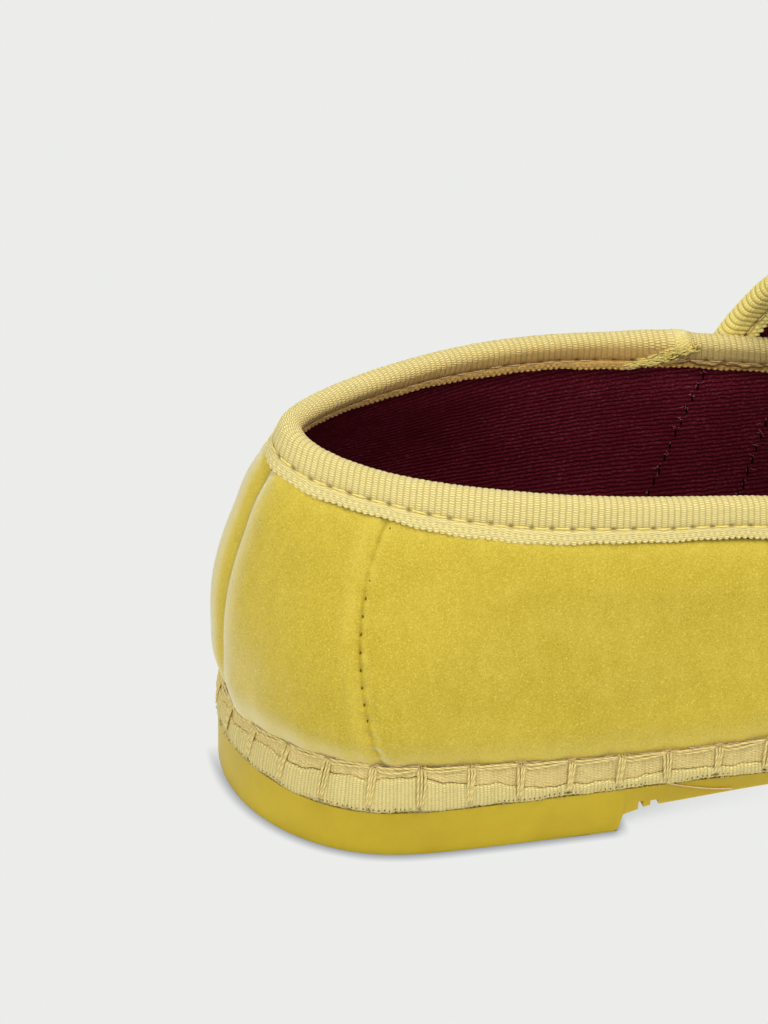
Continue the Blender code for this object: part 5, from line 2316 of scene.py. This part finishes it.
    def stitches(self) -> Shape:
        """Threads along the edge tapes and across the sewn ends.

        Returns:
            The shape.
        """
        tape = self.tape
        rear, front, outward, place = self.frames(0.0003)
        parts = []
        rise = np.sin(np.linspace(0.0, np.pi, 7)) ** 0.5
        starts = np.arange(0.0010, place[-1] - 0.003, 0.0030)
        depth = tape.width - tape.stitch_line
        for here, there in ((rear, front), (front, rear)):
            run = unit(there - here)
            for top in (True, False):
                paths, normals = [], []
                for start in starts:
                    at = start + np.linspace(0.0, 0.0021, 7)
                    base = at_places(at, place, here + run * depth)
                    side = at_places(at, place, outward)
                    lift = 0.00004 + 0.0002 * rise
                    out = tape.across() + lift if top else -lift
                    paths.append(base + side * out[:, None])
                    normals.append(side if top else -side)
                parts.append(tube_shape(paths, normals, 0.00015, 6))
        parts.append(self.end_stitches(rear, front, outward, place))
        return joined(parts)

    def end_stitches(self, rear: Array, front: Array, outward: Array, place: Array) -> Shape:
        """Rows of thread across both sewn ends.

        Args:
            rear: rear edge.
            front: front edge.
            outward: outward directions.
            place: their places.

        Returns:
            The shape.
        """
        paths, normals = [], []
        rise = np.sin(np.linspace(0.0, np.pi, 7)) ** 0.5
        total = place[-1]
        for at in (0.0016, 0.0078, total - 0.0016, total - 0.0078):
            here, there, side = (at_places(at, place, line) for line in (rear, front, outward))
            side = unit(side)
            width = float(np.linalg.norm(there - here))
            run = (there - here) / width
            for start in np.arange(0.0016, width - 0.0030, 0.0028):
                along = start + np.linspace(0.0, 0.0020, 7)
                lift = self.tape.across() + 0.00012 + 0.0002 * rise
                paths.append(here + run * along[:, None] + side * lift[:, None])
                normals.append(np.tile(side, (7, 1)))
        return tube_shape(paths, normals, 0.00016, 6)

    def build(self, shop: Workshop, finishes: Finishes) -> None:
        """Make the strap's pieces.

        Args:
            shop: puts pieces on the frame.
            finishes: materials of the shoe.
        """
        shop.add("strap_velvet", self.velvet_shape(), finishes.velvet, Slot.VELVET, ["strap"])
        shop.add("strap_lining", self.lining_shape(), finishes.lining, Slot.LINING)
        shop.add("strap_ribs_rear", self.tape_shape(False), finishes.strap_tape, Slot.TAPE,
                 ["strap_tape_rear"])
        shop.add("strap_ribs_front", self.tape_shape(True), finishes.strap_tape, Slot.TAPE,
                 ["strap_tape_front"])
        shop.add("strap_stitches", self.stitches(), finishes.thread, Slot.TAPE)


# Long tread lines: start and end as shares of the sole's length, place across at both ends as a
# share of the ball's width.
#  from   to     across_from across_to
LONG_GROOVES = (
    (0.555, 0.930, -0.190, -0.050),
    (0.600, 0.915, 0.130, 0.150),
    (0.020, 0.180, -0.120, -0.120),
    (0.085, 0.238, 0.125, 0.125),
)

# Arched tread lines: centre along and across, radius, and the arc that is cut, in degrees.
#  along  across radius from  to
ARC_GROOVES = (
    (0.650, -0.030, 0.0135, 20, 340),
    (0.800, -0.300, 0.0150, 10, 200),
    (0.855, 0.190, 0.0120, 150, 380),
    (0.110, 0.000, 0.0125, -80, 170),
)

# Fine leaves of the tread: middle along and across, length, width and turn in degrees.
#  along  across length  width   turn
LEAVES = (
    (0.700, 0.250, 0.0210, 0.0075, 25),
    (0.760, 0.020, 0.0190, 0.0070, -35),
    (0.600, -0.330, 0.0200, 0.0070, 70),
    (0.870, -0.090, 0.0170, 0.0060, 15),
    (0.050, 0.150, 0.0150, 0.0055, 40),
    (0.200, -0.220, 0.0170, 0.0060, 60),
)


@dataclass
class Sole:
    """Rubber sole with its tread, notch and the threads that show in the grooves."""

    last: Last
    depth: float = 0.0014
    width: float = 0.0032
    pitch: float = 0.0185
    rim: float = 0.0045
    fine: float = 0.0015
    notch_place: float = 0.254
    notch_width: float = 0.0037
    notch_length: float = 0.0080
    around: int = 300
    slab_pitch: float = 0.006
    draft: float = 0.0011
    corner: float = 0.0009
    ledge: float = 0.0011
    ledge_length: float = 0.0042

    def rubber_edge(self, u: Array) -> Array:
        """Outer line of the rubber, drawn in under the inner waist.

        Args:
            u: places round the shoe.

        Returns:
            Points on the ground plan.
        """
        point = self.last.curve(u)[:, :2]
        start, end = 0.246 * self.last.sole_length, 0.603 * self.last.sole_length
        middle = 0.5 * (start + end)
        inner = ease(point[:, 1], 0.0, 0.5 * self.last.gap)
        waist = ease(point[:, 0], start, middle) * (1.0 - ease(point[:, 0], middle, end))
        return self.last.edge(u, self.last.waist_inset * inner * waist)

    def span(self, x: float) -> tuple[float, float]:
        """Outer and inner edge of the rubber at x.

        Args:
            x: place along the shoe.

        Returns:
            Both values of y.
        """
        ring = self.rubber_edge(np.linspace(0.0, 1.0, 400, endpoint=False))
        tip = int(np.argmax(ring[:, 0]))
        outer, inner = ring[:tip + 1], ring[tip:][::-1]
        return (float(np.interp(x, outer[:, 0], outer[:, 1])),
                float(np.interp(x, inner[:, 0], inner[:, 1])))

    def cross_line(self, x: float) -> Array:
        """Tread line straight across the sole at x, inside the plain rim."""
        outer, inner = self.span(x)
        return np.array(((x, outer + self.rim), (x, inner - self.rim)))

    def main_lines(self) -> list[Array]:
        """Lines of the wide grooves.

        Returns:
            One path for each groove.
        """
        length = self.last.sole_length
        lines = []
        place = 0.531 * length
        while place < length - 0.5 * self.pitch:
            lines.append(self.cross_line(place))
            place += self.pitch
        lines += [self.cross_line(share * length) for share in (0.064, 0.172)]
        for start, end, near, far in LONG_GROOVES:
            lines.append(np.array(((start * length, near * self.last.ball_width),
                                   (end * length, far * self.last.ball_width))))
        for along, across, radius, start, end in ARC_GROOVES:
            turn = np.radians(np.linspace(start, end, max(int((end - start) / 8), 5)))
            lines.append(np.column_stack((along * length + radius * np.cos(turn),
                                          across * self.last.ball_width + radius * np.sin(turn))))
        return lines

    def leaf_lines(self) -> list[Array]:
        """Lines of the narrow grooves: two arched sides for each leaf.

        Returns:
            One path for each groove.
        """
        lines = []
        share = np.linspace(-1.0, 1.0, 11)
        for along, across, length, width, turn in LEAVES:
            centre = np.array((along * self.last.sole_length, across * self.last.ball_width))
            angle = math.radians(turn)
            run = np.array((math.cos(angle), math.sin(angle)))
            side = np.array((-run[1], run[0]))
            for sign in (-1.0, 1.0):
                bow = sign * 0.5 * width * (1 - share ** 2)
                lines.append(centre + run * (0.5 * length * share)[:, None] + side * bow[:, None])
        return lines

    @staticmethod
    def ribbon(line: Array, width: float) -> Array:
        """Outline of a band of one width along a line.

        Args:
            line: the path.
            width: width of the band.

        Returns:
            The outline.
        """
        run = unit(np.gradient(line, axis=0))
        side = np.stack((-run[:, 1], run[:, 0]), axis=1) * 0.5 * width
        return np.vstack((line + side, (line - side)[::-1]))

    @staticmethod
    def prism(outline: Array, low: float, high: float) -> bmesh.types.BMesh:
        """Outline raised from low to high.

        Args:
            outline: points of the outline.
            low: lower height.
            high: upper height.

        Returns:
            The solid.
        """
        bm = bmesh.new()
        face = bm.faces.new([bm.verts.new((p[0], p[1], low)) for p in outline])
        raised = bmesh.ops.extrude_face_region(bm, geom=[face])
        tops = [item for item in raised["geom"] if isinstance(item, bmesh.types.BMVert)]
        bmesh.ops.translate(bm, verts=tops, vec=(0.0, 0.0, high - low))
        bmesh.ops.recalc_face_normals(bm, faces=bm.faces)
        return bm

    def cutters(self) -> list[tuple[Array, float]]:
        """Outline and depth of each cut in the flat slab.

        Returns:
            The cuts.
        """
        cuts = [(self.ribbon(line, self.width), self.depth) for line in self.main_lines()]
        cuts += [(self.ribbon(line, self.fine), 0.6 * self.depth) for line in self.leaf_lines()]
        edge = self.span(self.notch_place * self.last.sole_length)[0]
        middle = self.notch_place * self.last.sole_length
        ends = (edge - self.notch_width, edge + self.notch_length)
        for start, end, deep in ((-0.5, -0.27, 0.92), (0.06, 0.43, 0.80)):
            place = middle + 0.5 * (start + end) * self.notch_width
            line = np.array(((place, ends[0]), (place, ends[1])))
            width = (end - start) * self.notch_width + 0.00002
            cuts.append((self.ribbon(line, width), deep * self.depth))
        return cuts

    def rubber_mesh(self, shop: Workshop) -> bpy.types.Mesh:
        """Flat slab with its grooves cut from below, then bent to the ground and seat lines.

        Args:
            shop: knows the shift into the frame.

        Returns:
            The mesh.
        """
        thickness = self.last.forefoot_rubber
        outline = self.rubber_edge(np.linspace(0.0, 1.0, self.around, endpoint=False))
        flat = self.object_of(self.prism(outline, 0.0, thickness), "flat_sole")
        tools = []
        for shape, deep in self.cutters():
            tool = self.object_of(self.prism(shape, -deep, deep), "groove")
            tools.append(tool)
            cut = flat.modifiers.new("groove", "BOOLEAN")
            cut.operation = "DIFFERENCE"
            cut.object = tool
        bpy.context.view_layer.update()
        evaluated = flat.evaluated_get(bpy.context.evaluated_depsgraph_get())
        mesh = bpy.data.meshes.new_from_object(evaluated)
        for item in (*tools, flat):
            bpy.data.objects.remove(item, do_unlink=True)
        bm = bmesh.new()
        bm.from_mesh(mesh)
        bmesh.ops.remove_doubles(bm, verts=bm.verts, dist=WELD)
        self.bend(bm, 0.5 * (self.depth + thickness))
        bmesh.ops.remove_doubles(bm, verts=bm.verts, dist=WELD)
        for vert in bm.verts:
            vert.co += Vector(shop.shift)
        bm.to_mesh(mesh)
        bm.free()
        mesh.name = "outsole_rubber"
        mesh.shade_smooth()
        mesh.set_sharp_from_angle(angle=SHARP)
        return mesh

    @staticmethod
    def object_of(bm: bmesh.types.BMesh, name: str) -> bpy.types.Object:
        """Object of a bmesh, which is freed, in the scene.

        Args:
            bm: the bmesh.
            name: name of the object.

        Returns:
            The object.
        """
        mesh = bpy.data.meshes.new(name)
        bm.to_mesh(mesh)
        bm.free()
        item = bpy.data.objects.new(name, mesh)
        bpy.context.scene.collection.objects.link(item)
        return item

    def bend(self, bm: bmesh.types.BMesh, middle: float) -> None:
        """Cut the slab across, then lay it between the ground and the seat.

        Args:
            bm: the flat slab.
            middle: height between its two faces.
        """
        breast = self.last.heel_breast
        regular = np.arange(self.slab_pitch, self.last.sole_length, self.slab_pitch)
        places = [x for x in regular if abs(x - breast) > 0.3 * self.slab_pitch]
        near = [breast - self.corner * share for share in (0.9, 0.6, 0.3)]
        near += [breast + self.last.breast_draft + self.ledge_length * share
                 for share in (0.5, 1.0)]
        for x in sorted(places + near + [breast, breast + self.last.breast_draft]):
            geometry = bm.verts[:] + bm.edges[:] + bm.faces[:]
            bmesh.ops.bisect_plane(bm, geom=geometry, dist=WELD, plane_co=(x, 0.0, 0.0),
                                   plane_no=(1.0, 0.0, 0.0))
        spots = np.array([vert.co for vert in bm.verts])
        self.lean_rim(spots)
        seat, ground = self.last.seat(spots[:, 0]), self.last.ground(spots[:, 0])
        low = spots[:, 2] < 0.2 * self.depth
        top = breast + self.last.breast_draft
        past = np.clip((spots[:, 0] - top) / self.ledge_length, 0.0, 1.0)
        ground -= np.where(low & (spots[:, 0] > top - 0.00001), self.ledge * (1 - past), 0.0)
        run = np.clip((spots[:, 0] - breast) / self.corner + 1.0, 0.0, 1.0)
        round_up = self.corner * (1.0 - np.sqrt(1.0 - 0.98 * run ** 2))
        ground += np.where(low & (spots[:, 0] < breast + 0.00001), round_up, 0.0)
        spots[:, 2] = np.where(spots[:, 2] > middle, seat, spots[:, 2] + ground)
        for vert, spot in zip(bm.verts, spots):
            vert.co = spot

    def lean_rim(self, spots: Array) -> None:
        """Draw the slab's rim in towards its lower face.

        Args:
            spots: corners of the flat slab, which are moved.
        """
        u = np.linspace(0.0, 1.0, 3000, endpoint=False)
        ring = self.rubber_edge(u)
        outward = self.last.outward(u)
        place = np.interp(u, *self.last.edge_table)
        away = np.minimum(place, self.last.edge_table[1][-1] - place)
        draft = self.draft * ease(away, 0.008, 0.034)
        for number, spot in enumerate(spots):
            gap = np.hypot(ring[:, 0] - spot[0], ring[:, 1] - spot[1])
            nearest = int(np.argmin(gap))
            if gap[nearest] < 0.0005:
                share = 1.0 - np.clip(spot[2] / self.last.forefoot_rubber, 0.0, 1.0)
                spots[number, :2] -= outward[nearest] * draft[nearest] * share

    def groove_threads(self) -> Shape:
        """Short pinkish threads that lie across the wide grooves.

        Returns:
            The shape.
        """
        rng = np.random.default_rng(31)
        paths = []
        for line in self.main_lines():
            length = path_lengths(line)
            for place in np.arange(0.002, length[-1] - 0.001, 0.0052):
                at = place + rng.normal(0.0, 0.0004)
                centre, ahead = (at_places(spot, length, line) for spot in (at, at + 0.0005))
                run = unit((ahead - centre)[None, :])[0]
                if not np.any(run):
                    continue
                side = np.array((-run[1], run[0]))
                slant = rng.normal(0.0, 0.25)
                share = np.linspace(-0.5, 0.5, 7)[:, None]
                flat = centre + (side + run * slant) * share * self.width * 0.92
                z = self.last.ground(flat[:, 0]) + self.depth - 0.00012
                paths.append(np.column_stack((flat, z)))
        paths = np.array(paths)
        normals = np.broadcast_to(np.array((0.0, 0.0, -1.0)), paths.shape)
        return tube_shape(paths, normals, 0.00022, 6)

    def build(self, shop: Workshop, finishes: Finishes) -> None:
        """Make the sole's pieces.

        Args:
            shop: puts pieces on the frame.
            finishes: materials of the shoe.
        """
        rubber = shop.place("outsole_rubber", self.rubber_mesh(shop), finishes.rubber,
                            Slot.RUBBER, ["outsole"])
        bevel = rubber.modifiers.new("worn_edge", "BEVEL")
        bevel.width = 0.00045
        bevel.segments = 3
        bevel.limit_method = "ANGLE"
        bevel.angle_limit = SHARP
        bevel.harden_normals = False
        shop.add("groove_threads", self.groove_threads(), finishes.fibre, Slot.TEXTILE)


@dataclass
class Footbed:
    """Cloth insole, slightly dished, and the midsole under it."""

    last: Last
    inset: float = 0.0034
    thickness: float = 0.0026
    middle: float = 0.9995

    def insole(self) -> Shape:
        """Closed pad with a rounded rim.

        Returns:
            The shape.
        """
        u = np.linspace(0.0, 1.0, 260, endpoint=False)
        edge = self.last.edge(u, self.inset)
        spine_x = np.clip(edge[:, 0], 0.030, self.last.sole_length - 0.036)
        spine = np.column_stack((spine_x, np.interp(
            spine_x, (0.03, 0.10, 0.17, 0.216), (0.0, -0.003, -0.004, 0.004))))
        low = self.last.welt_height + self.last.gap
        top = low + self.thickness
        rows = [(0.0, low), (0.0, top - 0.0008), (0.006, top - 0.0002), (0.02, top)]
        rows += [(share, top - 0.0004 * math.sin(math.pi * share / 2))
                 for share in np.linspace(0.06, self.middle, 26)]
        rows += [(self.middle, low)]
        points = []
        for share, height in rows:
            flat = edge * (1 - share) + spine * share
            points.append(np.column_stack((flat, self.last.seat(flat[:, 0]) + height)))
        points = np.stack(points, axis=1)
        return grid_shape(points, points[:, :, 0], points[:, :, 1], True, 0.0,
                          no_marks(points, "hollow_shade"))

    def build(self, shop: Workshop, finishes: Finishes, nodes: dict) -> None:
        """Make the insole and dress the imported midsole.

        Args:
            shop: puts pieces on the frame.
            finishes: materials of the shoe.
            nodes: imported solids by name.
        """
        shop.add("insole_cloth", self.insole(), finishes.lining, Slot.LINING, ["insole"])
        midsole = nodes["midsole"]
        midsole.data.materials.clear()
        midsole.data.materials.append(finishes.core)


@dataclass
class LooseFibre:
    """A stray fibre that hangs from the welt's lower edge on the outer side."""

    last: Last
    start: float = 0.0663
    end: float = 0.0782

    def shape(self) -> Shape:
        """The fibre as one thin tube.

        Returns:
            The shape.
        """
        share = np.linspace(0.0, 1.0, 25)
        u = self.last.edge_at(self.start + (self.end - self.start) * share, Side.OUTER)
        drop = 0.0034 * (1.0 - (1.0 - share) ** 1.6)
        edge = self.last.edge(u, -0.0003 + 0.00026 * drop / 0.001)
        z = self.last.seat(edge[:, 0]) + 0.0006 - drop
        path = np.column_stack((edge, z))[None]
        out = np.column_stack((self.last.outward(u), np.zeros(25)))[None]
        return tube_shape(path, out, 0.00013, 6)

    def build(self, shop: Workshop, finishes: Finishes) -> None:
        """Make the fibre."""
        shop.add("loose_fibre", self.shape(), finishes.fibre, Slot.TAPE)


@dataclass
class Studio:
    """Pale floor, soft light and the camera at the photograph's angle."""

    shift: Array
    distance: float = 1.2
    turn: float = 14.2
    elevation: float = 35.3
    focal: float = 7200.0
    long_side: float = 1024.0
    sensor: float = 36.0
    origin_pixel: tuple[float, float] = (224.0, 773.8)
    centre_pixel: tuple[float, float] = (384.0, 512.0)

    def camera(self) -> None:
        """Aim the camera through the middle of the photograph's frame."""
        turn, rise = math.radians(self.turn), math.radians(self.elevation)
        right = Vector((math.cos(turn), -math.sin(turn), 0.0))
        forward = Vector((math.sin(turn) * math.cos(rise), math.cos(turn) * math.cos(rise),
                          -math.sin(rise)))
        up = right.cross(forward)
        place = Vector(self.shift) - forward * self.distance
        aside = (self.centre_pixel[0] - self.origin_pixel[0]) / self.focal
        above = (self.origin_pixel[1] - self.centre_pixel[1]) / self.focal
        aim = (forward + right * aside + up * above).normalized()
        side = aim.cross(up).normalized()
        data = bpy.data.cameras.new("camera")
        data.sensor_width = self.sensor
        data.lens = self.focal / self.long_side * self.sensor
        data.clip_end = 50.0
        item = bpy.data.objects.new("camera", data)
        item.matrix_world = Matrix.Translation(place) @ Matrix(
            (side, side.cross(aim), -aim)).transposed().to_4x4()
        bpy.context.scene.collection.objects.link(item)
        bpy.context.scene.camera = item

    def floor(self) -> None:
        """A bright, even floor, with painted shadow only where something stands close over it."""
        bm = bmesh.new()
        bmesh.ops.create_grid(bm, x_segments=8, y_segments=8, size=6.0)
        mesh = bpy.data.meshes.new("floor")
        bm.to_mesh(mesh)
        bm.free()
        item = bpy.data.objects.new("floor", mesh)
        item.location.z = -0.00003
        material = bpy.data.materials.new("floor")
        material.use_nodes = True
        tree = material.node_tree
        tree.nodes.clear()
        bench = Bench(tree)
        # Painted contact shadow: ambient occlusion darkens the floor's glow near and under the shoe.
        near = bench.node("AmbientOcclusion", {"Distance": 0.0022}, samples=12).outputs["AO"]
        under = bench.node("AmbientOcclusion", {"Distance": 0.010}, samples=12).outputs["AO"]
        shade = bench.math("MULTIPLY", bench.math("POWER", near, 1.6),
                           bench.span(under, 0.03, 0.34, 0.40, 1.0))
        split = bench.node("SeparateXYZ", {0: bench.space()})
        # No painted shadow on the inner side behind the heel.
        behind = bench.span(split.outputs[0], -0.110, -0.085, 1.0, 0.0)
        open_side = bench.math("MULTIPLY", bench.span(split.outputs[1], -0.002, 0.012), behind)
        shade = bench.math("MAXIMUM", shade, open_side)
        # Bluish colour of the painted shadow.
        colour = bench.mix(shade, rgba((0.150, 0.165, 0.205)), rgba((0.839, 0.847, 0.823)))
        glow = bench.node("Emission", {"Color": colour, "Strength": 1.0})
        clear = bench.node("BsdfTransparent")
        under = bench.node("NewGeometry").outputs["Backfacing"]
        both = bench.node("MixShader", {0: under, 1: glow.outputs[0], 2: clear.outputs[0]})
        result = bench.node("OutputMaterial")
        tree.links.new(both.outputs[0], result.inputs["Surface"])
        mesh.materials.append(material)
        bpy.context.scene.collection.objects.link(item)

    def lights(self) -> None:
        """A broad sun from the upper right behind the camera, and an even sky."""
        world = bpy.data.worlds.new("studio")
        world.use_nodes = True
        sky = world.node_tree.nodes["Background"]
        sky.inputs["Color"].default_value = (1.0, 1.0, 1.0, 1.0)
        sky.inputs["Strength"].default_value = 0.70
        bpy.context.scene.world = world
        for name, strength, spread, direction in (
                ("key", 1.20, 30.0, (-0.30, 0.50, -1.0)),
                ("fill", 0.75, 50.0, (0.85, 0.60, -0.75))):
            data = bpy.data.lights.new(name, "SUN")
            data.energy = strength
            data.angle = math.radians(spread)
            item = bpy.data.objects.new(name, data)
            item.rotation_mode = "QUATERNION"
            item.rotation_quaternion = Vector(direction).to_track_quat("-Z", "Y")
            bpy.context.scene.collection.objects.link(item)

    def build(self) -> None:
        """Set up the studio."""
        self.camera()
        self.floor()
        self.lights()
        bpy.context.scene.view_settings.view_transform = "Standard"


def main() -> None:
    """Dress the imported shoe."""
    logging.basicConfig(level=logging.INFO, format="%(name)s %(message)s")
    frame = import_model()
    last = Last()
    shift = np.array((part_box("outsole")[1].x - last.sole_length, MIDDLE_Y, 0.0))
    shop = Workshop(shift)
    finishes = Finishes(Effects())
    welt = Welt(last)
    welt.build(shop, finishes)
    Upper(last, welt).build(shop, finishes)
    Collar(last).build(shop, finishes)
    Strap(last).build(shop, finishes)
    Sole(last).build(shop, finishes)
    Footbed(last).build(shop, finishes, frame["nodes"])
    LooseFibre(last).build(shop, finishes)
    Studio(shift).build()


if __name__ == "__main__":
    main()
